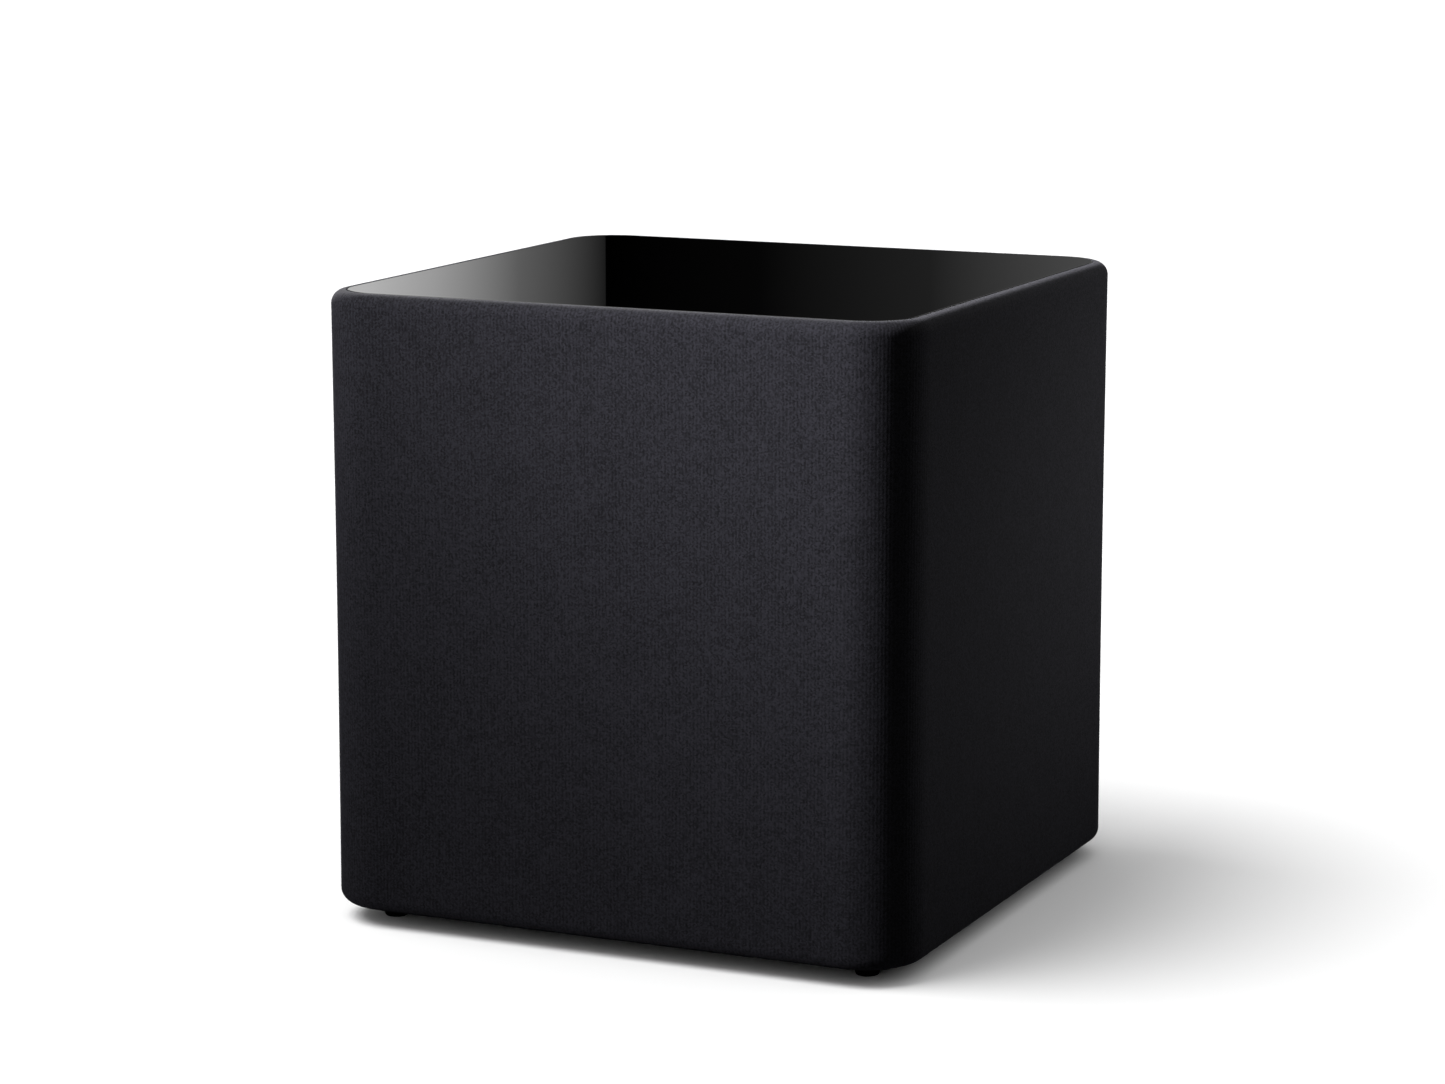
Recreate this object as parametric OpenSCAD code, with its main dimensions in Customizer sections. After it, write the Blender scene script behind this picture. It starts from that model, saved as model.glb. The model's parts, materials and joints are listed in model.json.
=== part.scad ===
// Fabric-wrapped cube subwoofer: a rounded wooden cabinet in a stretched fabric sleeve, with a glossy
// top plate, one large driver behind the front fabric and a plate amplifier on the rear.
// Millimetres. +Z is up and the driver faces -Y. The origin is on the floor, below the middle of the
// width and of the whole depth, knobs included.

/* [Cabinet] */
// Width over the fabric
body_w = 410; // [398:1:560]
// Depth over the fabric
body_d = 403; // [370:1:520]
// Height of the body from its underside to the top plate's surface, feet left out
body_h = 404; // [370:1:520]
// Radius of the vertical corners
corner_r = 41; // [30:1:41]
// Radius of the rolled top and bottom edges
edge_r = 9; // [6:0.5:14]
// Thickness of the side, top, bottom and rear panels
panel_t = 18; // [15:1:25]
// Thickness of the front baffle
baffle_t = 22; // [16:1:30]
// Distance from the front fabric to the baffle's face
baffle_recess = 26; // [25:1:34]
// Air gap between the flat panels and the stretched fabric
backing_gap = 1; // [0.5:0.5:4]
// Thickness of the window brace
brace_t = 15; // [12:1:22]
// Width of the brace's frame round its window
brace_frame = 52; // [30:1:58]
// Thickness of the wadding
wadding_t = 24; // [10:1:30]

/* [Fabric] */
// Thickness of the stretched fabric
fabric_t = 1.2; // [0.6:0.1:2]
// Depth to which the fabric is tucked in round the top plate and the base plate
tuck_depth = 7; // [4:0.5:10]

/* [Plates] */
// Thickness of the glossy top plate
plate_t = 6; // [4:0.5:8]
// Radius of the top plate's polished edge
plate_edge_r = 0.8; // [0.4:0.1:1.5]
// Thickness of the base plate
base_t = 3; // [2:0.5:5]

/* [Grille frame] */
// Thickness of the grille frame
grille_t = 4; // [3:0.5:5]
// Width of the grille frame's bars
grille_bar = 5; // [3:0.5:8]
// Windows across and up the grille frame
grille_n = 9; // [9:1:12]
// Radius of the pegs that hold the grille frame
peg_r = 4; // [3:0.5:6]

/* [Feet] */
// Height of a foot
foot_h = 10.5; // [8:0.5:20]
// Diameter of a foot at the floor
foot_d = 15; // [14:0.5:30]
// Diameter of a foot where it meets the body
foot_top_d = 18; // [16:0.5:34]
// Distance from the body's faces to a foot's centre
foot_inset = 37.5; // [30:0.5:60]

/* [Driver] */
// Outer diameter of the basket's flange
driver_d = 310; // [250:1:316]
// Width of the flange seat outside the cut-out
seat_w = 15; // [12:1:20]
// Thickness of the flange
flange_t = 6; // [4:0.5:8]
// Radius of the surround's half roll
roll_r = 11; // [9:0.5:12]
// Width of the surround's glued lips
lip_w = 7; // [5:0.5:10]
// Thickness of the surround
surround_t = 1.6; // [1:0.1:2.5]
// Thickness of the cone
cone_t = 1.5; // [0.8:0.1:3]
// Depth of the cone
cone_depth = 48; // [40:1:52]
// Radius of the dust cap
cap_r = 42; // [34:1:50]
// Inner radius of the voice coil's former
former_r = 25.6; // [19:0.1:38]
// Height of the magnet ring
magnet_t = 20; // [15:1:30]
// Outer radius of the magnet ring
magnet_r = 78; // [65:1:80]
// Thickness of the pole plate
pole_plate_t = 8; // [6:1:12]
// Thickness of the yoke's plate
yoke_t = 10; // [8:1:14]
// Radius of the vent through the pole
vent_r = 9; // [5:0.5:14]

/* [Amplifier] */
// Width of the amplifier plate
amp_w = 236; // [230:1:300]
// Height of the amplifier plate
amp_h = 300; // [290:1:330]
// Thickness of the amplifier plate
amp_t = 4; // [2:0.5:5]
// Width of the plate's edge that bears on the rear panel
amp_rim = 13; // [10:1:16]
// Depth of the heat sink's fins
fin_h = 9; // [5:0.5:12]
// Fins on the heat sink
fin_n = 13; // [8:1:16]
// Distance from the plate's inner face to the power board
board_gap = 34; // [28:1:50]

/* [Controls] */
// Height of a knob
knob_h = 13; // [10:0.5:18]
// Radius of a knob
knob_r = 8.5; // [8:0.5:12]
// Radius of a control shaft
shaft_r = 3; // [2.5:0.1:3.2]
// Travel of a slide switch
slide_travel = 4; // [3:0.5:6]
// Tilt of the mains rocker each way
rocker_tilt = 9; // [6:1:12]

/* [Hidden] */
$fn = 64;

// Clearances
fit = 0.2;              // between pieces that are assembled and don't move
run = 0.05;             // radial, round a turning shaft
slip = 0.3;             // round a sliding or tilting piece
eps = 0.01;             // overshoot of a cut

// Body levels and faces
z_under = foot_h;
z_top = foot_h + body_h;
z_mid = (z_under + z_top) / 2;
knob_gap = 1;
rear_stand = amp_t + knob_gap + knob_h;             // how far the knobs stand behind the fabric
front_y = -(body_d + rear_stand) / 2;
back_y = front_y + body_d;
mid_y = (front_y + back_y) / 2;
skin = fabric_t + fit;                              // fabric with its clearance
panel_face = fabric_t + backing_gap;                // depth of a flat panel's face behind the fabric
panel_back = panel_face + panel_t;
cap_inset = edge_r + fabric_t + fit;                // inset of the top plate, base plate and end panels
wall_z0 = z_under + base_t + fit + panel_t;
wall_z1 = z_top - plate_t - fit - panel_t;
wall_h = wall_z1 - wall_z0;
flat_w = body_w - 2 * corner_r;                     // flat stretch between the rounded corners
flat_d = body_d - 2 * corner_r;

// Driver, measured from the baffle's face into the body
baffle_y = front_y + baffle_recess;
driver_z = z_mid;
frame_r = driver_d / 2;
cutout_r = frame_r - seat_w;
roll_out_r = cutout_r - 13;                         // outer edge of the half roll
roll_mid_r = roll_out_r - roll_r;
cone_r = roll_out_r - 2 * roll_r;                   // outer edge of the cone's slope
screw_pcd = 2 * (frame_r - 7);
basket_screws = 8;
basket_legs = 8;
former_t = 0.4;
coil_t = 1;
coil_r = former_r + former_t;                       // inner radius of the winding
neck_r = coil_r + cone_t;
spider_s = 57;
spider_r = cone_r - 20;
landing_t = 5;
landing_w = 15;
plate_s = 96;                                       // front of the pole plate
magnet_s = plate_s + pole_plate_t;
yoke_s = magnet_s + magnet_t;
yoke_back = yoke_s + yoke_t;
coil_mid = plate_s + pole_plate_t / 2;
coil_l = pole_plate_t + 16;
boot_t = 2.5;

// Amplifier, measured from the fabric's rear face into the body
amp_z = z_mid;
hole_w = amp_w - 2 * amp_rim;
hole_h = amp_h - 2 * amp_rim;
amp_corner = 8;
plate_screw_x = amp_w / 2 - amp_rim / 2;
plate_screw_z = amp_h / 2 - amp_rim / 2;
board_t = 1.6;
control_gap = 14;
control_w = 176;
control_h = 96;
control_z = hole_h / 2 - 8 - control_h / 2;
power_w = 180;
power_h = 144;
power_z = -(hole_h / 2 - 6 - power_h / 2);
volume_x = 52;
crossover_x = 8;
knob_row = control_z + 22;
switch_row = control_z - 4;
socket_row = control_z - 32;
phase_x = 52;
mode_x = 8;
light_x = -36;
jack_x = 66;
input_x = [-58, -34];
bush_r = shaft_r + run + 0.45;
nut_r = 6;
nut_t = 1.8;
sink_w = 112;
sink_h = 118;
sink_x = 38;
sink_z = -74;
inlet_x = -66;
inlet_z = -88;
inlet_w = 30;
inlet_h = 46;
rocker_z = inlet_z + inlet_h / 2 + 20;
slider_w = 4;
slider_h = 3.4;
slider_out = 2;

// Screw sizes
wood_screw_r = 2;
wood_head_r = 4.2;
pilot = 0.1;

// A rectangle with round corners, centred
module rounded(w, d, r) {
    square([w - 2 * r, d], center = true);
    square([w, d - 2 * r], center = true);
    for (x = [-1, 1], y = [-1, 1])
        translate([x * (w / 2 - r), y * (d / 2 - r)])
            circle(r);
}

// The body's outline, moved inwards
module body_outline(inset) {
    translate([0, mid_y])
        rounded(body_w - 2 * inset, body_d - 2 * inset, corner_r - inset);
}

// Sweeps a profile of (distance inwards, height) once round the body's outline
module round_body() {
    for (k = [0:3]) {
        along = k % 2 == 0 ? body_w : body_d;
        half = k % 2 == 0 ? body_d / 2 : body_w / 2;
        translate([0, mid_y, 0])
            rotate(90 * k) {
                translate([-(along / 2 - corner_r), -half, 0])
                    rotate([90, 0, 90])
                        linear_extrude(along - 2 * corner_r)
                            children();
                translate([along / 2 - corner_r, -half + corner_r, 0])
                    rotate(-90)
                        rotate_extrude(angle = 90)
                            translate([corner_r, 0])
                                mirror([1, 0])
                                    children();
            }
    }
}

// Places children at the four corners of a rectangle
module four(x, y) {
    for (i = [-1, 1], j = [-1, 1])
        translate([i * x, j * y, 0])
            children();
}

// Places children on the driver's axis: local +Z runs into the body from the baffle's face
module on_driver() {
    translate([0, baffle_y, driver_z])
        rotate([-90, 0, 0])
            children();
}

// Places children on the amplifier plate: local +Z runs into the body from the plate's inner face
module on_amp(x = 0, z = 0) {
    translate([x, back_y, amp_z + z])
        rotate([90, 0, 0])
            children();
}

// A ring, from its two radii, its start and its length
module ring(r_out, r_in, s, l) {
    translate([0, 0, s])
        difference() {
            cylinder(r = r_out, h = l);
            translate([0, 0, -eps])
                cylinder(r = r_in, h = l + 2 * eps);
        }
}

// A box centred in X and Y, from its start in Z
module block(w, h, s, l) {
    translate([-w / 2, -h / 2, s])
        cube([w, h, l]);
}

// A pan-head screw pointing along +Z, with its head below Z = 0 and a cross recess
module screw(r, head_r, head_t, l) {
    difference() {
        translate([0, 0, -head_t])
            cylinder(r = head_r, h = head_t);
        for (a = [0, 90])
            rotate(a)
                block(head_r * 1.2, head_r * 0.28, -head_t - eps, head_t * 0.5);
    }
    translate([0, 0, -eps])
        cylinder(r = r, h = l);
}

// A wire through the points p, as a tube with eight sides
function unit(v) = v / norm(v);
function tangent(p, i) = unit(p[min(i + 1, len(p) - 1)] - p[max(i - 1, 0)]);
function side(t) = unit(cross(t, abs(t[0]) < 0.9 ? [1, 0, 0] : [0, 0, 1]));
module wire(p, r) {
    n = 8;
    m = len(p);
    rings = [for (i = [0:m - 1])
        let (t = tangent(p, i), u = side(t), v = cross(t, u))
        for (k = [0:n - 1])
            p[i] + r * (cos(360 * k / n) * u + sin(360 * k / n) * v)];
    walls = [for (i = [0:m - 2], k = [0:n - 1])
        [i * n + k, i * n + (k + 1) % n, (i + 1) * n + (k + 1) % n, (i + 1) * n + k]];
    start = [for (k = [0:n - 1]) n - 1 - k];
    end = [for (k = [0:n - 1]) (m - 1) * n + k];
    polyhedron(points = rings, faces = concat(walls, [start, end]), convexity = 4);
}

// ---------------------------------------------------------------- cabinet

module corner_posts() {
    color("tan")
        for (sx = [-1, 1], sy = [-1, 1])
            translate([sx * flat_w / 2, mid_y + sy * flat_d / 2, wall_z0])
                intersection() {
                    cylinder(r = corner_r - skin, h = wall_h);
                    translate([sx > 0 ? 0 : -corner_r, sy > 0 ? 0 : -corner_r, -eps])
                        cube([corner_r, corner_r, wall_h + 2 * eps]);
                }
}

module side_panels() {
    color("burlywood")
        for (s = [-1, 1])
            translate([s > 0 ? body_w / 2 - panel_back : -body_w / 2 + panel_face,
                mid_y - flat_d / 2, wall_z0])
                cube([panel_t, flat_d, wall_h]);
}

module top_panel() {
    color("burlywood")
        translate([0, 0, wall_z1])
            linear_extrude(panel_t)
                body_outline(cap_inset);
}

module bottom_panel() {
    color("burlywood")
        translate([0, 0, z_under + base_t + fit])
            difference() {
                linear_extrude(panel_t)
                    body_outline(cap_inset);
                at_feet()
                    translate([0, 0, -eps])
                        cylinder(r = wood_screw_r + pilot, h = panel_t - 4);
            }
}

module rear_panel() {
    color("burlywood")
        difference() {
            translate([-flat_w / 2, back_y - panel_back, wall_z0])
                cube([flat_w, panel_t, wall_h]);
            on_amp()
                block(hole_w, hole_h, -eps, panel_back + 2 * eps);
            on_amp()
                plate_screw_places()
                    cylinder(r = wood_screw_r + pilot, h = panel_face + 14);
        }
}

module front_baffle() {
    color("burlywood")
        difference() {
            translate([-flat_w / 2, baffle_y, wall_z0])
                cube([flat_w, baffle_t, wall_h]);
            on_driver() {
                translate([0, 0, -eps])
                    cylinder(r = cutout_r + 1, h = baffle_t + 2 * eps);
                translate([0, 0, -eps])
                    cylinder(r = frame_r + 0.5, h = flange_t + eps);
                basket_screw_places()
                    cylinder(r = wood_screw_r + pilot, h = baffle_t - 3);
            }
            at_pegs()
                translate([0, 0, baffle_recess - eps])
                    cylinder(r = peg_r + fit, h = 10);
        }
}

brace_y = baffle_y + yoke_back + boot_t + 18;
module window_brace() {
    w = body_w - 2 * panel_back - 2 * fit;
    color("burlywood")
        translate([0, brace_y + brace_t, (wall_z0 + wall_z1) / 2])
            rotate([90, 0, 0])
                linear_extrude(brace_t)
                    difference() {
                        square([w, wall_h - 2 * fit], center = true);
                        rounded(w - 2 * brace_frame, wall_h - 2 * brace_frame, 30);
                    }
}

module damping_wadding() {
    w = body_w - 2 * panel_back - 2 * fit;
    d = brace_y - baffle_y - baffle_t - 4;
    color("gainsboro")
        translate([0, baffle_y + baffle_t + 2 + d, (wall_z0 + wall_z1) / 2])
            rotate([90, 0, 0])
                linear_extrude(d)
                    difference() {
                        square([w, wall_h - 2 * fit], center = true);
                        translate([0, -wadding_t])
                            rounded(w - 2 * wadding_t, wall_h, 20);
                    }
}

// ---------------------------------------------------------------- skin

// Quarter of a disc that rounds the rolled edge, in (distance inwards, height) at the top
module edge_quarter(r, inwards = edge_r) {
    intersection() {
        translate([edge_r, z_top - edge_r])
            circle(r);
        translate([0, z_top - edge_r])
            square([inwards, edge_r]);
    }
}

// One half of the sleeve's strip: half the wall, the rolled edge and the tuck
module sleeve_half() {
    translate([0, z_mid])
        square([fabric_t, z_top - edge_r - z_mid]);
    difference() {
        edge_quarter(edge_r);
        edge_quarter(edge_r - fabric_t);
    }
    translate([edge_r, z_top - tuck_depth])
        square([fabric_t, tuck_depth]);
}

module sleeve_strip() {
    sleeve_half();
    translate([0, 2 * z_mid])
        mirror([0, 1])
            sleeve_half();
}

module fabric_sleeve() {
    color("#1b1c1f")
        difference() {
            round_body()
                sleeve_strip();
            on_amp()
                block(hole_w + 10, hole_h + 10, -eps, panel_back);
            on_amp()
                plate_screw_places()
                    translate([0, 0, -eps])
                        cylinder(r = wood_screw_r + pilot, h = panel_face);
        }
}

// The rail that the fabric rolls over: its head fills the roll and its foot holds the end panel
module rail_profile(head_h) {
    edge_quarter(edge_r - skin, edge_r - fit);
    translate([skin, z_top - head_h])
        square([edge_r - fit - skin, head_h - edge_r]);
    translate([edge_r / 2, z_top - head_h])
        square([cap_inset - fit - edge_r / 2, head_h - tuck_depth - fit]);
}

module top_rail() {
    color("#242528")
        round_body()
            rail_profile(z_top - wall_z1);
}

module bottom_rail() {
    color("#242528")
        round_body()
            translate([0, 2 * z_mid])
                mirror([0, 1])
                    rail_profile(wall_z0 - z_under);
}

// Pegs of the grille frame: local +Z runs into the body from the front fabric
module at_pegs() {
    inset = 9;
    translate([0, front_y, (wall_z0 + wall_z1) / 2])
        rotate([-90, 0, 0])
            four(flat_w / 2 - inset, wall_h / 2 - inset)
                children();
}

module grille_frame() {
    w = flat_w - 2 * fit;
    h = wall_h - 2 * fit;
    rim = 14;
    step_x = (w - 2 * rim + grille_bar) / grille_n;
    step_z = (h - 2 * rim + grille_bar) / grille_n;
    color("#303136") {
        translate([0, front_y + skin + grille_t, (wall_z0 + wall_z1) / 2])
            rotate([90, 0, 0])
                linear_extrude(grille_t)
                    difference() {
                        square([w, h], center = true);
                        for (i = [0:grille_n - 1], j = [0:grille_n - 1])
                            translate([-w / 2 + rim + i * step_x, -h / 2 + rim + j * step_z])
                                square([step_x - grille_bar, step_z - grille_bar]);
                    }
        at_pegs()
            translate([0, 0, skin + 1])
                cylinder(r = peg_r, h = baffle_recess + 8 - skin - 1);
    }
}

module top_plate() {
    r = plate_edge_r;
    color("#08090b") {
        translate([0, 0, z_top - plate_t])
            linear_extrude(plate_t - r)
                body_outline(cap_inset);
        translate([0, 0, z_top - r])
            linear_extrude(r)
                body_outline(cap_inset + r);
        round_body()
            intersection() {
                translate([cap_inset + r, z_top - r])
                    circle(r);
                translate([cap_inset, z_top - r])
                    square([r, r]);
            }
    }
}

module base_plate() {
    color("#1a1a1c")
        translate([0, 0, z_under])
            difference() {
                linear_extrude(base_t)
                    body_outline(cap_inset);
                at_feet()
                    translate([0, 0, -eps])
                        cylinder(r = wood_screw_r + fit, h = base_t + 2 * eps);
            }
}

// ---------------------------------------------------------------- feet

module at_feet() {
    translate([0, mid_y, 0])
        four(body_w / 2 - foot_inset, body_d / 2 - foot_inset)
            children();
}

foot_sink = 5;          // depth of the screw head's pocket
module feet() {
    color("#141414")
        at_feet()
            difference() {
                cylinder(r1 = foot_d / 2, r2 = foot_top_d / 2, h = foot_h);
                translate([0, 0, -eps])
                    cylinder(r = wood_head_r + fit, h = foot_sink + eps);
                translate([0, 0, foot_sink - eps])
                    cylinder(r = wood_screw_r + fit, h = foot_h);
            }
}

module foot_screws() {
    color("silver")
        at_feet()
            translate([0, 0, foot_sink])
                screw(wood_screw_r, wood_head_r, 2.6, foot_h - foot_sink + base_t + fit + panel_t - 6);
}

// ---------------------------------------------------------------- driver

module basket_screw_places() {
    for (k = [0:basket_screws - 1])
        rotate(360 * (k + 0.5) / basket_screws)
            translate([screw_pcd / 2, 0, 0])
                children();
}

hoop_l = 12;            // length of the basket's hoop behind the flange
module driver_basket() {
    hoop_r = cutout_r - 1;
    seat_r = roll_out_r + 0.5;
    ring_out = magnet_r - 2;
    ring_t = 8;
    color("dimgray")
        on_driver()
            difference() {
                union() {
                    ring(frame_r, seat_r, 0, flange_t);
                    ring(hoop_r, seat_r, flange_t - eps, hoop_l);
                    ring(spider_r + landing_w, spider_r - 8, spider_s, landing_t);
                    ring(ring_out, coil_r + coil_t + 12, plate_s - ring_t, ring_t);
                    for (k = [0:basket_legs - 1])
                        rotate(360 * (k + 0.5) / basket_legs)
                            rotate([90, 0, 0])
                                translate([0, 0, -5])
                                    linear_extrude(10)
                                        polygon([
                                            [seat_r + 1, flange_t], [hoop_r, flange_t],
                                            [hoop_r, flange_t + hoop_l],
                                            [spider_r + landing_w, spider_s + 12],
                                            [ring_out, plate_s], [ring_out - 16, plate_s],
                                            [spider_r - 2, spider_s + landing_t],
                                            [spider_r + 6, spider_s + 1],
                                            [seat_r + 1, flange_t + hoop_l]]);
                }
                basket_screw_places()
                    translate([0, 0, -eps])
                        cylinder(r = wood_screw_r + fit, h = flange_t + 2 * eps);
            }
}

basket_seat = roll_out_r + 0.5;
module driver_trim_ring() {
    color("#202020")
        on_driver()
            ring(basket_seat + 11.5, basket_seat + 1, -surround_t - fit - 2.4, 2.4);
}

// Half-roll surround: outer lip on the basket, roll, inner lip on the cone's edge
module surround() {
    color("#1c1c1c")
        on_driver()
            rotate_extrude() {
                translate([roll_out_r - 0.5, -surround_t - 0.05])
                    square([lip_w + 0.5, surround_t]);
                translate([cone_r - lip_w, -surround_t - 0.05])
                    square([lip_w + 0.5, surround_t]);
                intersection() {
                    translate([roll_mid_r, -0.05])
                        difference() {
                            circle(roll_r);
                            circle(roll_r - surround_t);
                        }
                    translate([cone_r, -roll_r - 1])
                        square([2 * roll_r, roll_r + 1 - 0.05]);
                }
            }
}

// Depth of the cone at radius r: a curve that steepens towards the neck
function cone_s(r) =
    let (f = (cone_r - lip_w - r) / (cone_r - lip_w - neck_r))
    cone_t + (cone_depth - cone_t) * pow(f, 1.15);
cone_steps = 12;
cone_radii = [for (i = [0:cone_steps])
    cone_r - lip_w - (cone_r - lip_w - neck_r) * i / cone_steps];
module cone() {
    color("#26272a")
        on_driver()
            rotate_extrude() {
                translate([cone_r - lip_w - 0.5, 0])
                    square([lip_w + 0.5, cone_t]);
                polygon(concat(
                    [for (r = cone_radii) [r, cone_s(r)]],
                    [for (i = [cone_steps:-1:0]) [cone_radii[i], cone_s(cone_radii[i]) - cone_t]]));
                translate([coil_r + 0.02, cone_depth - 3])
                    square([cone_t, 3]);
            }
}

// Dome over the neck, seated on the cone
module dust_cap() {
    seat = cone_s(cap_r) - cone_t - 0.1;
    rise = 13;
    dome = (cap_r * cap_r + rise * rise) / (2 * rise);
    color("#222326")
        on_driver()
            rotate_extrude()
                intersection() {
                    translate([0, seat - rise + dome])
                        difference() {
                            circle(dome, $fn = 200);
                            circle(dome - cone_t, $fn = 200);
                        }
                    translate([0, seat - rise - 1])
                        square([cap_r, rise + 1]);
                }
}

// Corrugated spider between the former and the basket's landing
module spider() {
    waves = 5;
    steps = 40;
    wave_h = 2.2;
    cloth_t = 0.8;
    r0 = coil_r + 6;
    r1 = spider_r - 7;
    function wave(r) = wave_h * (cos(360 * waves * (r - r0) / (r1 - r0)) - 1);
    function height(r) = spider_s - cloth_t - 0.1 + wave(r);
    radii = [for (i = [0:steps]) r0 + (r1 - r0) * i / steps];
    color("goldenrod")
        on_driver()
            rotate_extrude() {
                translate([coil_r + 0.02, spider_s - cloth_t - 0.1])
                    square([r0 - coil_r, cloth_t]);
                polygon(concat(
                    [for (r = radii) [r, height(r)]],
                    [for (i = [steps:-1:0]) [radii[i], height(radii[i]) + cloth_t]]));
                translate([r1 - 0.02, spider_s - cloth_t - 0.1])
                    square([12, cloth_t]);
            }
}

module coil_former() {
    start = cone_depth - 8;
    color("peru")
        on_driver()
            ring(coil_r, former_r, start, coil_mid + coil_l / 2 - start);
}

module voice_coil() {
    color("orangered")
        on_driver()
            ring(coil_r + coil_t, coil_r + 0.01, coil_mid - coil_l / 2, coil_l);
}

module pole_plate() {
    color("slategray")
        on_driver()
            ring(magnet_r - 4, coil_r + coil_t + 0.8, plate_s + 0.01, pole_plate_t - 0.02);
}

module magnet() {
    color("#3a3a3e")
        on_driver()
            ring(magnet_r, coil_r + coil_t + 14, magnet_s, magnet_t);
}

module yoke() {
    color("slategray")
        on_driver()
            difference() {
                union() {
                    translate([0, 0, plate_s + 1])
                        cylinder(r = former_r - 0.7, h = yoke_s - plate_s);
                    translate([0, 0, yoke_s + 0.01])
                        cylinder(r = magnet_r - 4, h = yoke_t);
                }
                translate([0, 0, plate_s])
                    cylinder(r = vent_r, h = yoke_back);
            }
}

module magnet_boot() {
    color("#191919")
        on_driver()
            rotate_extrude() {
                translate([magnet_r + fit, magnet_s + 2])
                    square([boot_t, yoke_back + boot_t - magnet_s - 2]);
                translate([vent_r + 10, yoke_back + fit])
                    square([magnet_r - vent_r - 10 + boot_t, boot_t]);
            }
}

module driver_screws() {
    color("#2b2b2b")
        on_driver()
            basket_screw_places()
                screw(wood_screw_r, wood_head_r, 2.6, baffle_t - 4);
}

tab_x = 9;
tab_y = spider_r + landing_w - 7;       // height of the tabs above the driver's axis
tab_s = spider_s + landing_t + 6;       // depth of the terminal block's back
tab_l = 8;
module driver_terminals() {
    color("#7a1f1f")
        on_driver()
            translate([0, -tab_y, 0]) {
                block(34, 14, spider_s + landing_t, 6);
                for (s = [-1, 1])
                    translate([s * tab_x, 0, 0])
                        block(5, 1.2, tab_s, tab_l);
            }
}

wire_r = 1.4;
module speaker_wires() {
    start_y = baffle_y + tab_s + tab_l;
    end_y = back_y - board_gap - board_t - 1;
    high_z = driver_z + tab_y;
    clear_z = driver_z + max(tab_y, magnet_r + boot_t + 8);     // passes over the magnet
    low_z = amp_z + power_z + power_h / 2 - 14;
    middle = (start_y + end_y) / 2;
    color("firebrick")
        for (s = [-1, 1])
            wire([
                [s * tab_x, start_y, high_z],
                [s * tab_x, start_y + 16, clear_z],
                [s * 8, middle - 40, clear_z - 3],
                [s * 7, middle, clear_z - 12],
                [s * 7, middle + 30, clear_z - 30],
                [s * 7, middle + 46, (high_z + low_z) / 2 + 8],
                [s * 7, end_y - 34, low_z + 16],
                [s * 7, end_y - 20, low_z + 3],
                [s * 7, end_y - 10, low_z],
                [s * 7, end_y, low_z]], wire_r);
}

// ---------------------------------------------------------------- amplifier

// Screws round the plate's edge: the corners and the middles of the long sides
module plate_screw_places() {
    four(plate_screw_x, plate_screw_z)
        children();
    for (x = [-1, 1])
        translate([x * plate_screw_x, 0, 0])
            children();
    for (y = [-1, 1])
        translate([0, y * plate_screw_z, 0])
            children();
}

module slot(w, h) {
    block(w, h, -amp_t - eps, amp_t + 2 * eps);
}

module through(r) {
    translate([0, 0, -amp_t - eps])
        cylinder(r = r, h = amp_t + 2 * eps);
}

module amp_plate() {
    slide_w = slider_w + slide_travel + 2 * slip;
    color("#1d1d1f")
        on_amp()
            difference() {
                translate([0, 0, -amp_t])
                    linear_extrude(amp_t)
                        rounded(amp_w, amp_h, amp_corner);
                plate_screw_places()
                    through(wood_screw_r + fit);
                for (x = [volume_x, crossover_x])
                    translate([x, knob_row, 0])
                        through(bush_r + fit);
                for (x = [phase_x, mode_x])
                    translate([x, switch_row, 0])
                        slot(slide_w, slider_h + 2 * slip);
                for (x = input_x)
                    translate([x, socket_row, 0])
                        through(input_r + fit);
                translate([jack_x, socket_row, 0])
                    through(jack_r + fit);
                translate([light_x, knob_row, 0])
                    through(light_r + fit);
                translate([inlet_x, inlet_z, 0])
                    slot(inlet_w - 4, inlet_h - 4);
                translate([inlet_x, rocker_z, 0])
                    slot(rocker_w - 3, rocker_h - 3);
            }
}

// Foam gasket between the plate and the rear panel, inside the fabric's cut-out
module amp_gasket() {
    color("#2a2a2a")
        on_amp()
            difference() {
                block(hole_w + 9, hole_h + 9, 0.05, panel_face - 0.1);
                block(hole_w + 0.5, hole_h + 0.5, -eps, panel_face + 1);
            }
}

module amp_screws() {
    color("#333338")
        on_amp()
            plate_screw_places()
                translate([0, 0, -amp_t])
                    screw(wood_screw_r, wood_head_r, 2.2, amp_t + panel_face + 13);
}

module heat_sink() {
    base = 3;
    fin_t = 2;
    pitch = (sink_w - fin_t) / (fin_n - 1);
    color("#202022")
        on_amp(sink_x, sink_z) {
            block(sink_w, sink_h, -amp_t - base, base);
            for (i = [0:fin_n - 1])
                translate([-sink_w / 2 + fin_t / 2 + i * pitch, 0, 0])
                    block(fin_t, sink_h, -amp_t - base - fin_h + 1, fin_h);
        }
}

device_n = 4;
device_pitch = 24;
device_w = 10;
device_h = 15;
device_t = 4.6;
leg_pitch = 2.5;
leg_w = 0.8;
leg_s = 1.5;            // depth of a leg behind the plate's inner face
leg_l = 4;              // length of a leg before it turns towards the board

// Transistors clamped to the plate's inner face behind the heat sink, with their legs
module power_transistors() {
    color("#222222")
        for (i = [0:device_n - 1])
            on_amp(sink_x + device_pitch * (i - (device_n - 1) / 2), sink_z - 20) {
                block(device_w, device_h, 0.05, device_t);
                for (x = [-leg_pitch, 0, leg_pitch]) {
                    translate([x, device_h / 2 + 1.5, leg_s])
                        block(leg_w, leg_l, 0, 1);
                    translate([x, device_h / 2 + 3.1, leg_s])
                        block(leg_w, leg_w, 0, board_gap - leg_s - 0.1);
                }
            }
}

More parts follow.
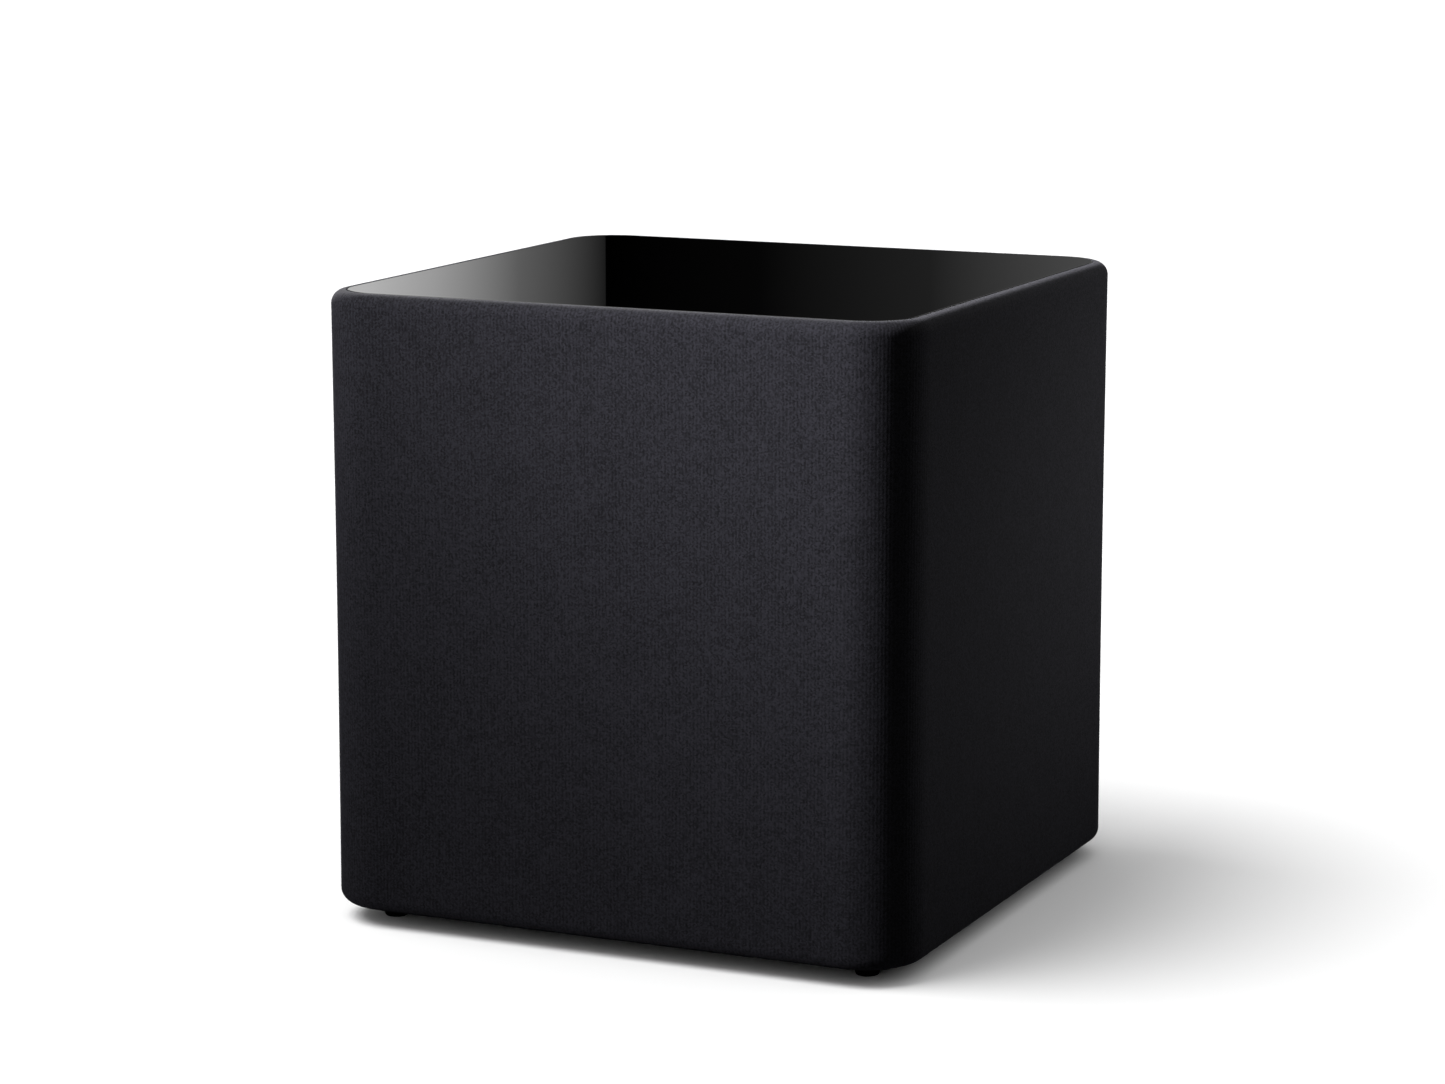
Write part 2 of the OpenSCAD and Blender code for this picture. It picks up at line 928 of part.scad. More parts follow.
stand_inset = 7;
stand_stem_r = 1.5;
stand_head_t = 1.8;
module stand_places() {
    translate([0, power_z, 0])
        four(power_w / 2 - stand_inset, power_h / 2 - stand_inset)
            children();
}

module power_board() {
    color("#1f5c36")
        on_amp()
            difference() {
                translate([0, power_z, 0])
                    block(power_w, power_h, board_gap, board_t);
                stand_places()
                    translate([0, 0, board_gap - eps])
                        cylinder(r = stand_stem_r + fit, h = board_t + 2 * eps);
            }
}

// Hexagonal standoffs with a screw stem through the board
module board_standoffs() {
    color("goldenrod")
        on_amp()
            stand_places() {
                cylinder(r = 3.4, h = board_gap - 0.02, $fn = 6);
                translate([0, 0, board_gap - 1])
                    cylinder(r = stand_stem_r, h = board_t + 1.5);
                translate([0, 0, board_gap + board_t + 0.02])
                    cylinder(r = 2.8, h = stand_head_t);
            }
}

module control_board() {
    color("#1f5c36")
        on_amp(0, control_z)
            block(control_w, control_h, control_gap, board_t);
}

board_top = board_gap + board_t + 0.02;

// Ferrite core with two end yokes, its winding and two outer posts
module transformer() {
    core_w = 46;
    core_h = 40;
    yoke_l = 6;
    winding_l = 22;
    post_w = 7;
    color("khaki")
        on_amp(-44, power_z - 8) {
            block(core_w, core_h, board_top, yoke_l);
            block(30, 22, board_top + yoke_l, winding_l);
            block(core_w, core_h, board_top + yoke_l + winding_l, yoke_l);
            for (x = [-1, 1])
                translate([x * (core_w - post_w) / 2, 0, 0])
                    block(post_w, 30, board_top + yoke_l, winding_l);
        }
}

module filter_capacitors() {
    can_r = 15;
    can_l = 44;
    can_pitch = 36;
    color("#26324f")
        for (i = [0, 1])
            on_amp(22 + can_pitch * i, power_z - 18)
                translate([0, 0, board_top]) {
                    cylinder(r = can_r, h = can_l);
                    translate([0, 0, can_l])
                        cylinder(r1 = can_r, r2 = can_r - 1, h = 1);
                }
}

// Flat cable between the two boards
module signal_ribbon() {
    top = control_z - control_h / 2 + 3;
    low = power_z + power_h / 2 - 4;
    a = control_gap + board_t;
    b = board_gap + board_t;
    color("lightgray")
        on_amp(-70, 0)
            rotate([0, -90, 0])
                translate([0, 0, -9])
                    linear_extrude(18)
                        polygon([
                            [a + 0.02, top], [a + 6, top], [b + 9, low + 1],
                            [b + 9, low - 3], [b + 0.02, low - 3],
                            [b + 0.02, low - 4], [b + 10, low - 4], [b + 10, low + 1.4], [a + 6.4, top + 1],
                            [a + 0.02, top + 1]]);
}

// ---------------------------------------------------------------- controls

pot_w = 16;
pot_h = 18;

// A potentiometer's body with its threaded bushing and nut
module bare_pot() {
    difference() {
        union() {
            block(pot_w, pot_h, 2, control_gap - 2.05);
            translate([0, 0, -amp_t - nut_t - 1])
                cylinder(r = bush_r, h = amp_t + nut_t + 4);
            translate([0, 0, -amp_t - nut_t])
                cylinder(r = nut_r, h = nut_t, $fn = 6);
        }
        translate([0, 0, -amp_t - nut_t - 2])
            cylinder(r = shaft_r + run, h = amp_t + nut_t + 10);
    }
}

module potentiometers() {
    color("silver")
        for (x = [volume_x, crossover_x])
            on_amp(x, knob_row)
                bare_pot();
}

module shaft() {
    tip = amp_t + knob_gap + knob_h - 3;
    translate([0, 0, -tip])
        cylinder(r = shaft_r, h = tip + 7.5);
}

module volume_shaft() {
    color("gainsboro")
        on_amp(volume_x, knob_row)
            shaft();
}

module crossover_shaft() {
    color("gainsboro")
        on_amp(crossover_x, knob_row)
            shaft();
}

// Fluted knob with a pointer slot, hollow over the nut
module knob() {
    flutes = 18;
    flute_r = 0.8;
    outer = -amp_t - knob_gap;
    difference() {
        translate([0, 0, outer - knob_h])
            linear_extrude(knob_h)
                difference() {
                    circle(knob_r);
                    for (k = [0:flutes - 1])
                        rotate(360 * (k + 0.5) / flutes)
                            translate([knob_r + 0.35, 0])
                                circle(flute_r, $fn = 16);
                }
        translate([0, 0, outer - 3])
            cylinder(r = nut_r + 0.8, h = 4);
        translate([0, 0, outer - knob_h + 3])
            cylinder(r = shaft_r + 0.02, h = knob_h);
        translate([0, knob_r - 3, 0])
            block(1.2, 3.6, outer - knob_h - eps, 0.6);
    }
}

module volume_knob() {
    color("#26262a")
        on_amp(volume_x, knob_row)
            knob();
}

module crossover_knob() {
    color("#26262a")
        on_amp(crossover_x, knob_row)
            knob();
}

module slide_switch_bodies() {
    travel_w = slider_w + slide_travel + 2 * slip;
    color("silver")
        for (x = [phase_x, mode_x])
            on_amp(x, switch_row)
                difference() {
                    block(20, 9, 0.1, control_gap - 0.15);
                    block(travel_w, slider_h + 2 * slip, -eps, 7);
                }
}

// A slide switch's button, at the end of its travel towards -X
module slider() {
    translate([-slide_travel / 2, 0, 0])
        block(slider_w, slider_h, -amp_t - slider_out, amp_t + slider_out + 6);
}

module phase_slider() {
    color("whitesmoke")
        on_amp(phase_x, switch_row)
            slider();
}

module power_mode_slider() {
    color("whitesmoke")
        on_amp(mode_x, switch_row)
            slider();
}

rocker_w = 19;
rocker_h = 25;
rocker_half = 8.2;      // half the rocker's length up and down
rocker_pivot = -2;      // depth of the rocker's axis
pivot_r = 1.2;          // trunnions that the rocker tilts on
pivot_l = 13.2;

// A bar along the rocker's axis
module rocker_axle(r, l) {
    translate([-l / 2, 0, rocker_pivot])
        rotate([0, 90, 0])
            cylinder(r = r, h = l);
}

module rocker_housing() {
    color("#151515")
        on_amp(inlet_x, rocker_z)
            difference() {
                union() {
                    block(rocker_w, rocker_h, -amp_t - 1.6, 1.6);
                    block(rocker_w - 3 - 2 * fit, rocker_h - 3 - 2 * fit, -amp_t - 0.5, amp_t + 16);
                }
                block(11, 2 * rocker_half + 1.6, -amp_t - 2, amp_t + 8);
                rocker_axle(pivot_r + run, pivot_l + 0.4);
            }
}

// Rocker with a shallow V face, pressed in at its upper end
module power_rocker() {
    color("#0d0d0d")
        on_amp(inlet_x, rocker_z) {
            rocker_axle(pivot_r, pivot_l);
            translate([0, 0, rocker_pivot])
                rotate([rocker_tilt, 0, 0])
                    rotate([0, -90, 0])
                        translate([0, 0, -5])
                            linear_extrude(10)
                                polygon([
                                    [-5.4, -rocker_half], [-3.9, 0], [-5.4, rocker_half],
                                    [0.5, rocker_half - 0.6], [3, 3], [3, -3], [0.5, -rocker_half + 0.6]]);
        }
}

light_r = 1.5;
module status_light() {
    color("powderblue")
        on_amp(light_x, knob_row) {
            translate([0, 0, -amp_t])
                cylinder(r = light_r, h = amp_t + 6);
            translate([0, 0, -amp_t])
                intersection() {
                    sphere(light_r);
                    block(4, 4, -3, 3);
                }
            translate([0, 0, 0.1])
                cylinder(r = light_r + 0.5, h = control_gap - 0.15);
        }
}

input_r = 4.6;          // thread of an input socket where it passes the plate
input_barrel_r = 4.15;  // contact barrel that a phono plug grips
input_bore_r = 3.3;
input_out = 8.5;        // length of the barrel in front of its collar
module line_inputs() {
    color("gold")
        for (x = input_x)
            on_amp(x, socket_row) {
                difference() {
                    union() {
                        translate([0, 0, -amp_t - 2 - input_out])
                            cylinder(r = input_barrel_r, h = input_out + 1);
                        translate([0, 0, -amp_t - 2])
                            cylinder(r = 6.2, h = 2, $fn = 6);
                        translate([0, 0, -amp_t - 0.5])
                            cylinder(r = input_r, h = amp_t + 6);
                    }
                    translate([0, 0, -amp_t - 2 - input_out - eps])
                        cylinder(r = input_bore_r, h = input_out + amp_t + 12);
                }
                translate([0, -(input_bore_r + input_r) / 2, 0])
                    block(3, 1, 5, control_gap - 5.05);
            }
}

input_pin_r = 1.6;
module input_insulators() {
    len = input_out + 2 + amp_t + 4;
    color("white")
        for (x = input_x)
            on_amp(x, socket_row)
                difference() {
                    translate([0, 0, -amp_t - 2 - input_out + 0.6])
                        cylinder(r = input_bore_r - 0.02, h = len);
                    translate([0, 0, -amp_t - 2 - input_out])
                        cylinder(r = input_pin_r, h = len - 3);
                }
}

jack_r = 3;
jack_bore_r = 1.8;      // takes a 3.5 mm plug
jack_depth = 14;
module trigger_jack() {
    mouth = -amp_t - 3;
    color("#303034")
        on_amp(jack_x, socket_row)
            difference() {
                union() {
                    block(10, 11, 0.1, control_gap - 0.15);
                    translate([0, 0, mouth])
                        cylinder(r = jack_r, h = amp_t + 4);
                    translate([0, 0, mouth + 1])
                        cylinder(r = 5, h = 2, $fn = 6);
                }
                translate([0, 0, mouth - eps])
                    cylinder(r = jack_bore_r, h = jack_depth + eps);
            }
}

recess_w = 24.4;
recess_h = 16.4;
recess_deep = 17;
recess_z = 9.5;         // height of the mains recess's centre above the inlet's centre
drawer_z = -13;
drawer_w = 23;
drawer_h = 9;
drawer_l = 20;
module mains_inlet() {
    color("#101010")
        on_amp(inlet_x, inlet_z)
            difference() {
                union() {
                    block(inlet_w, inlet_h, -amp_t - 2.5, 2.5);
                    block(inlet_w - 4 - 2 * fit, inlet_h - 4 - 2 * fit, -amp_t - 1, amp_t + 23);
                }
                translate([0, recess_z, 0])
                    block(recess_w, recess_h, -amp_t - 3, recess_deep + 3);
                translate([0, drawer_z, 0])
                    block(drawer_w + 2 * slip, drawer_h + 2 * slip, -amp_t - 3, drawer_l + 4);
            }
}

// Two side blades low in the recess and the middle one above them
module inlet_pins() {
    start = -amp_t + 1;
    color("silver")
        on_amp(inlet_x, inlet_z + recess_z)
            for (p = [[-7, -2.5], [7, -2.5], [0, 1.8]])
                translate([p[0], p[1], 0])
                    block(2, 4, start, recess_deep - amp_t - start);
}

module fuse_drawer() {
    color("#18181a")
        on_amp(inlet_x, inlet_z + drawer_z)
            difference() {
                union() {
                    block(drawer_w, drawer_h, -amp_t - 1.5, drawer_l);
                    block(8, 1.6, -amp_t - 3, 2);
                }
                translate([0, 1, 0])
                    block(drawer_w - 1.6, drawer_h - 1.5, 2 - amp_t, drawer_l - 5);
            }
}

module fuse() {
    color("lightcyan")
        on_amp(inlet_x, inlet_z + drawer_z)
            translate([-10, 0.2, 5])
                rotate([0, 90, 0])
                    cylinder(r = 2.6, h = 20);
}

// ---------------------------------------------------------------- assembly

corner_posts();
side_panels();
top_panel();
bottom_panel();
rear_panel();
front_baffle();
window_brace();
damping_wadding();
top_rail();
bottom_rail();
grille_frame();
fabric_sleeve();
top_plate();
base_plate();
feet();
foot_screws();
driver_basket();
driver_trim_ring();
surround();
cone();
dust_cap();
spider();
coil_former();
voice_coil();
pole_plate();
magnet();
yoke();
magnet_boot();
driver_screws();
driver_terminals();
speaker_wires();
amp_plate();
amp_gasket();
amp_screws();
heat_sink();
power_transistors();
power_board();
board_standoffs();
control_board();
transformer();
filter_capacitors();
potentiometers();
volume_shaft();
volume_knob();
crossover_shaft();
crossover_knob();
slide_switch_bodies();
phase_slider();
power_mode_slider();
rocker_housing();
power_rocker();
status_light();
line_inputs();
input_insulators();
trigger_jack();
mains_inlet();
inlet_pins();
fuse_drawer();
fuse();
signal_ribbon();
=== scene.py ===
import json
import math

import bmesh
import bpy
import numpy as np
from bpy.props import FloatProperty, FloatVectorProperty, PointerProperty
from mathutils import Matrix, Vector

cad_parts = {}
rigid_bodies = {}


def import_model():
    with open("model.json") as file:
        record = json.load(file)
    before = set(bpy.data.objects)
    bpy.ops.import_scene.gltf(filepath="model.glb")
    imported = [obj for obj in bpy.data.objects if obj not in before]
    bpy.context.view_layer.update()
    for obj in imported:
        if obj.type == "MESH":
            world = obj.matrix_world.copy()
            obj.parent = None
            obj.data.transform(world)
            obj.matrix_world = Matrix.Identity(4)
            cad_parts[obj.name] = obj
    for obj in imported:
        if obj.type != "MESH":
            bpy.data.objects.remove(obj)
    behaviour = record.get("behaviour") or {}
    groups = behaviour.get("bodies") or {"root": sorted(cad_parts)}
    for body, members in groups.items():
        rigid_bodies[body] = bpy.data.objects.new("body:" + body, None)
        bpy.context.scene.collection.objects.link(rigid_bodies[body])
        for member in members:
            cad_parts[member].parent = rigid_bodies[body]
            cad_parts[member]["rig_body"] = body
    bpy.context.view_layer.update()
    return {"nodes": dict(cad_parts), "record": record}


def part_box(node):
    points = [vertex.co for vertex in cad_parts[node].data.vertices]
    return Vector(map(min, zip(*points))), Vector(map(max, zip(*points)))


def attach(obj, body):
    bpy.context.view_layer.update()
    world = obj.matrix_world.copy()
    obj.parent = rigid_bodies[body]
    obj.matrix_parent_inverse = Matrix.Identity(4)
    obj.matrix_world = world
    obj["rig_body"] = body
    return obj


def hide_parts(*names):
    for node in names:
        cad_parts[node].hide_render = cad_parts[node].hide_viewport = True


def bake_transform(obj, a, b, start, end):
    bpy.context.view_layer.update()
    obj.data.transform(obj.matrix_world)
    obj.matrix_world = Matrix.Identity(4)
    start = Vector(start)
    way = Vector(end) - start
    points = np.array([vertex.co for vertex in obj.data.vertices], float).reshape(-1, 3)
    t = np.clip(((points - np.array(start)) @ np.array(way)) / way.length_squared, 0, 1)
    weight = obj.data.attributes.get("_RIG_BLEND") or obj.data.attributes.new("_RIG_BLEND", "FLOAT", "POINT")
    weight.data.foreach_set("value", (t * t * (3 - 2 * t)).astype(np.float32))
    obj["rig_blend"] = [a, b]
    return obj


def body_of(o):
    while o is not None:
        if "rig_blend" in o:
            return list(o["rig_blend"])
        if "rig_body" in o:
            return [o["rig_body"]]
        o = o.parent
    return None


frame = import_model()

bl_info = {
    "name": "Cube Subwoofer",
    "version": (1, 0, 0),
    "blender": (4, 5, 0),
    "location": "View3D > Sidebar > Subwoofer",
    "description": "Looks of a fabric-wrapped cube subwoofer round its CAD frame",
    "category": "Object",
}

MM = 0.001
ROOT = "cabinet"
CONE = "cone_assembly"


# ---------------------------------------------------------------- measures taken from the frame

def box(node):
    """Lowest and highest corner of a CAD node, as two arrays in metres."""
    low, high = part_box(node)
    return np.array(low), np.array(high)


SLEEVE_LOW, SLEEVE_HIGH = box("fabric_sleeve")
PLATE_LOW, PLATE_HIGH = box("top_plate")
SLEEVE_SIZE = SLEEVE_HIGH - SLEEVE_LOW
SLEEVE_MID = (SLEEVE_LOW + SLEEVE_HIGH) / 2
PLATE_INSET = (SLEEVE_SIZE[0] - (PLATE_HIGH - PLATE_LOW)[0]) / 2


# ---------------------------------------------------------------- settings

def metres(name, description, default, low=0.0, high=1.0):
    """A length property with its unit."""
    return FloatProperty(name=name, description=description, default=default, min=low, max=high,
                         unit="LENGTH", subtype="DISTANCE", precision=5)


def srgb(code):
    """Linear RGB of an sRGB hex colour: each channel through the sRGB curve."""
    values = np.array([int(code[i:i + 2], 16) for i in (1, 3, 5)]) / 255
    linear = np.where(values <= 0.04045, values / 12.92, ((values + 0.055) / 1.055) ** 2.4)
    return tuple(float(v) for v in linear)


def colour(name, description, code):
    """A colour property whose default is an sRGB hex value turned to linear."""
    return FloatVectorProperty(name=name, description=description, default=srgb(code), size=3,
                               min=0.0, max=1.0, subtype="COLOR")


class FabricSettings(bpy.types.PropertyGroup):
    """Sizes and colours of the knitted sleeve."""
    corner: metres("Corner radius", "Radius of the vertical corners", 41 * MM)
    roll: metres("Roll radius", "Radius of the rolled top and bottom edges", 9 * MM)
    tuck: metres("Tuck depth", "How deep the fabric is tucked in beside the plates", 7 * MM)
    thick: metres("Thickness", "Thickness of the stretched fabric", 1.0 * MM)
    pull: metres("Pull", "How far the stretched fabric draws in between its rails", 0.5 * MM)
    stitch: metres("Wale spacing", "Distance between neighbouring columns of stitches", 2.4 * MM)
    loop: metres("Loop size", "Size of one loop of yarn", 1.0 * MM)
    yarn: colour("Yarn", "Colour of the black yarn", "#42414A")
    gap: colour("Gaps", "Colour between the stitches", "#060608")


class PlateSettings(bpy.types.PropertyGroup):
    """Sizes and colours of the glossy top plate."""
    edge: metres("Polished edge", "Radius of the plate's polished edge", 0.9 * MM)
    lacquer: colour("Lacquer", "Colour under the clear lacquer", "#030304")


class StageSettings(bpy.types.PropertyGroup):
    """Camera and light of the studio."""
    lens: FloatProperty(name="Lens", description="Focal length on a 36 mm sensor", default=100.9,
                        min=10, max=300, unit="CAMERA")
    yaw: FloatProperty(name="Yaw", description="Camera's turn to the left of straight ahead",
                       default=math.radians(24.29), subtype="ANGLE")
    pitch: FloatProperty(name="Pitch", description="Camera's tilt below the horizon",
                         default=math.radians(10.38), subtype="ANGLE")
    key: FloatProperty(name="Key light", description="Strength of the sun that casts the floor's long shadow",
                       default=2.3, min=0)
    sky: FloatProperty(name="Sky light", description="Strength of the wide light on the floor",
                       default=2.2, min=0)
    front: FloatProperty(name="Front softbox", description="Power of the front softbox in watts",
                         default=1.36, min=0)
    spot: FloatProperty(name="Front spot", description="Power of the narrow light on the front's upper right",
                        default=0.52, min=0)
    side: FloatProperty(name="Side softbox", description="Power of the right softbox in watts",
                        default=0.16, min=0)
    rear: FloatProperty(name="Rear softbox", description="Power of the softbox behind, to the left, in watts",
                        default=34, min=0)
    ambient: FloatProperty(name="Ambient", description="Brightness of the room's air", default=0.005, min=0)


# ---------------------------------------------------------------- materials

def add(tree, kind, links=None, **settings):
    """Adds a node, sets its properties, and fills its sockets from values, sockets or nodes."""
    made = tree.nodes.new(kind)
    for key, value in settings.items():
        setattr(made, key, value)
    for name, value in (links or {}).items():
        socket = made.inputs[name]
        if isinstance(value, bpy.types.NodeSocket):
            tree.links.new(value, socket)
        else:
            socket.default_value = value
    return made


def ramp(tree, source, stops):
    """A colour ramp through (position, linear RGB) stops."""
    made = add(tree, "ShaderNodeValToRGB", {"Fac": source})
    points = made.color_ramp.elements
    while len(points) < len(stops):
        points.new(0.5)
    for point, (position, rgb) in zip(points, stops):
        point.position = position
        point.color = (*rgb, 1)
    return made.outputs["Color"]


def finish(name, base, **sockets):
    """A new material with one Principled shader, whose constant sockets are set directly."""
    material = bpy.data.materials.new(name)
    material.use_nodes = True
    tree = material.node_tree
    shader = tree.nodes["Principled BSDF"]
    shader.inputs["Base Color"].default_value = (*base, 1)
    for key, value in sockets.items():
        shader.inputs[key.replace("_", " ").title().replace("Ior", "IOR")].default_value = value
    return material, tree, shader


def coloured(tree, shader, source, stops):
    """Drives a shader's colour with a ramp through the stops."""
    tree.links.new(ramp(tree, source, stops), shader.inputs["Base Color"])


def roughened(tree, shader, source, low, high, start=0.0, end=1.0):
    """Drives a shader's roughness from low to high while the source runs from start to end."""
    rough = add(tree, "ShaderNodeMapRange", {"Value": source, "From Min": start, "From Max": end,
                                             "To Min": low, "To Max": high})
    tree.links.new(rough.outputs["Result"], shader.inputs["Roughness"])


def bumped(tree, shader, height, distance, **more):
    """Drives a shader's bump with a height."""
    bump = add(tree, "ShaderNodeBump", {"Height": height, "Distance": distance, **more})
    tree.links.new(bump.outputs["Normal"], shader.inputs["Normal"])


def sine(tree, source, period):
    """The sine of a value, with one turn every period."""
    turn = add(tree, "ShaderNodeMath", {0: source, 1: 2 * math.pi / period}, operation="MULTIPLY")
    return add(tree, "ShaderNodeMath", {0: turn.outputs[0]}, operation="SINE").outputs[0]


def by_camera(tree, others, seen):
    """One colour for the camera, and another for every other ray."""
    camera = add(tree, "ShaderNodeLightPath").outputs["Is Camera Ray"]
    return add(tree, "ShaderNodeMix", {"Factor": camera, 6: (*others, 1), 7: (*seen, 1)},
               data_type="RGBA").outputs[2]


def place(tree, size):
    """Object coordinates scaled so that one unit is the given size in metres."""
    where = add(tree, "ShaderNodeTexCoord").outputs["Object"]
    return add(tree, "ShaderNodeVectorMath", {0: where, 1: (1 / size,) * 3},
               operation="MULTIPLY").outputs["Vector"]


BROAD = 40              # how many grains across a surface's broad, faint unevenness is


def grain(name, base, raised_tone, size, depth, roughness, spread=0.04, **sockets):
    """A surface with an even fine grain: noise of the given size drives colour, roughness and bump."""
    material, tree, shader = finish(name, base, **sockets)
    fine = add(tree, "ShaderNodeTexNoise", {"Vector": place(tree, size), "Scale": 1.0, "Detail": 4.0})
    broad = add(tree, "ShaderNodeTexNoise", {"Vector": place(tree, size * BROAD), "Scale": 1.0,
                                             "Detail": 2.0})
    tone = add(tree, "ShaderNodeMath", {0: broad.outputs["Fac"], 1: 0.1, 2: fine.outputs["Fac"]},
               operation="MULTIPLY_ADD")
    # the colour follows the noise of the bump: base in the hollows, raised_tone on the high spots
    coloured(tree, shader, tone.outputs[0], [(0.4, base), (0.7, raised_tone)])
    roughened(tree, shader, broad.outputs["Fac"], roughness - spread, roughness + spread, 0.3, 0.7)
    bumped(tree, shader, fine.outputs["Fac"], depth, Strength=0.6)
    return material


def knitted_polyester(settings, around):
    """Black polyester knit, stretched: matt yarn with a soft sheen, drawn a little coarser than real.

    The piece's UV map is in metres. Each loop of yarn is one cell of its own random lightness, the columns
    of stitches are a sine wave of a whole number of them round the box, and noise loosens both.
    """
    material, tree, shader = finish("knitted_polyester", tuple(settings.yarn), roughness=0.9, ior=1.5,
                                    sheen_weight=0.1, sheen_roughness=0.4)
    shader.inputs["Specular IOR Level"].default_value = 0.25
    shader.inputs["Sheen Tint"].default_value = (0.86, 0.84, 1.0, 1)
    uv = add(tree, "ShaderNodeUVMap", uv_map="cloth").outputs["UV"]
    wobble = add(tree, "ShaderNodeTexNoise", {"Vector": uv, "Scale": 260.0, "Detail": 2.0},
                 noise_dimensions="2D")
    loose = add(tree, "ShaderNodeVectorMath", {0: wobble.outputs["Color"], 1: (1.2 * MM, 1.2 * MM, 0)},
                operation="MULTIPLY")
    bent = add(tree, "ShaderNodeVectorMath", {0: uv, 1: loose.outputs[0]}, operation="ADD")
    split = add(tree, "ShaderNodeSeparateXYZ", {0: bent.outputs[0]})
    wale = around / round(around / settings.stitch)
    column = sine(tree, split.outputs["X"], wale)
    loops = add(tree, "ShaderNodeTexVoronoi", {"Vector": bent.outputs[0], "Scale": 1 / settings.loop},
                voronoi_dimensions="2D")
    fleck = add(tree, "ShaderNodeSeparateColor", {"Color": loops.outputs["Color"]})
    height = add(tree, "ShaderNodeMath", {0: column, 1: 0.15, 2: fleck.outputs["Red"]},
                 operation="MULTIPLY_ADD")
    level = add(tree, "ShaderNodeMapRange", {"Value": height.outputs[0], "From Min": -0.5, "From Max": 1.15})
    patch = add(tree, "ShaderNodeTexNoise", {"Vector": uv, "Scale": 38.0, "Detail": 3.0},
                noise_dimensions="2D")
    tone = add(tree, "ShaderNodeMath", {0: patch.outputs["Fac"], 1: 0.2, 2: level.outputs["Result"]},
               operation="MULTIPLY_ADD")
    coloured(tree, shader, tone.outputs[0], [(0.12, tuple(settings.gap)), (1.0, tuple(settings.yarn))])
    bumped(tree, shader, level.outputs["Result"], 0.45 * MM, Strength=0.55)
    return material


def piano_lacquer(settings):
    """Black acrylic under clear lacquer: mirror gloss with the faintest haze, and no visible texture."""
    material, tree, shader = finish("piano_lacquer", tuple(settings.lacquer), roughness=0.02, ior=1.5,
                                    coat_weight=0.6, coat_roughness=0.01)
    shader.inputs["Coat IOR"].default_value = 1.5
    haze = add(tree, "ShaderNodeTexNoise", {"Vector": place(tree, 60 * MM), "Scale": 1.0, "Detail": 5.0})
    roughened(tree, shader, haze.outputs["Fac"], 0.015, 0.03, 0.35, 0.75)
    return material


def enamelled_copper():
    """Copper wire under clear enamel, wound side by side: each turn has a painted highlight on its crest and
    painted shade in the groove beside it.
    """
    material, tree, shader = finish("enamelled_copper", srgb("#C66A3A"), metallic=1.0, roughness=0.28)
    split = add(tree, "ShaderNodeSeparateXYZ", {0: place(tree, 0.3 * MM)})
    wave = sine(tree, split.outputs["Y"], 1)
    level = add(tree, "ShaderNodeMapRange", {"Value": wave, "From Min": -1.0, "From Max": 1.0})
    # painted highlight and painted shade: the ramp's dark end falls in the grooves between turns, its light
    # end on each turn's crest
    coloured(tree, shader, level.outputs["Result"], [(0, srgb("#7A3418")), (0.6, srgb("#D07A45"))])
    bumped(tree, shader, level.outputs["Result"], 0.1 * MM)
    return material


def dipped_cloth():
    """Cotton weave dipped in resin for the spider: amber threads with darker gaps."""
    material, tree, shader = finish("dipped_cloth", srgb("#B08742"), roughness=0.75, ior=1.5)
    split = add(tree, "ShaderNodeSeparateXYZ", {0: place(tree, 1.2 * MM)})
    waves = [sine(tree, split.outputs[axis], 1) for axis in ("X", "Z")]
    cross = add(tree, "ShaderNodeMath", {0: waves[0], 1: waves[1]}, operation="MULTIPLY")
    level = add(tree, "ShaderNodeMapRange", {"Value": cross.outputs[0], "From Min": -1.0, "From Max": 1.0})
    coloured(tree, shader, level.outputs["Result"], [(0.1, srgb("#7C5A24")), (0.9, srgb("#C79E57"))])
    bumped(tree, shader, level.outputs["Result"], 0.15 * MM)
    return material


def solder_mask():
    """Green solder mask over etched copper: glossy, with tracks a shade lighter than the board."""
    material, tree, shader = finish("solder_mask", srgb("#14532D"), roughness=0.3, ior=1.55)
    cells = add(tree, "ShaderNodeTexVoronoi", {"Vector": place(tree, 7 * MM), "Scale": 1.0},
                feature="DISTANCE_TO_EDGE")
    coloured(tree, shader, cells.outputs["Distance"], [(0.06, srgb("#3B7A4A")), (0.1, srgb("#0F4324"))])
    return material


def vinyl_jacket(name, code):
    """Extruded vinyl insulation: even colour with a soft waxy gloss."""
    lighter = tuple(min(1, 1.25 * channel) for channel in srgb(code))
    return grain(name, srgb(code), lighter, 0.9 * MM, 0.01 * MM, 0.4, ior=1.53)


def clear_lens():
    """Clear polycarbonate light guide: glossy and slightly milky."""
    material, tree, shader = finish("clear_lens", srgb("#DDE9F2"), roughness=0.12, ior=1.58,
                                    transmission_weight=0.7)
    haze = add(tree, "ShaderNodeTexNoise", {"Vector": place(tree, 2 * MM), "Scale": 1.0, "Detail": 2.0})
    roughened(tree, shader, haze.outputs["Fac"], 0.08, 0.2)
    return material


def loose_fibre():
    """Carded polyester fibre: off-white fluff, with painted shade in its hollows."""
    material, tree, shader = finish("loose_fibre", srgb("#D9D8D2"), roughness=1.0, sheen_weight=0.4)
    strands = add(tree, "ShaderNodeTexNoise", {"Vector": place(tree, 3 * MM), "Scale": 1.0, "Detail": 6.0,
                                               "Distortion": 1.5})
    # painted shade: the ramp's grey end falls where the bump is low, in the hollows of the fluff
    coloured(tree, shader, strands.outputs["Fac"], [(0.3, srgb("#A9A8A2")), (0.7, srgb("#EFEEE9"))])
    bumped(tree, shader, strands.outputs["Fac"], 2 * MM)
    return material


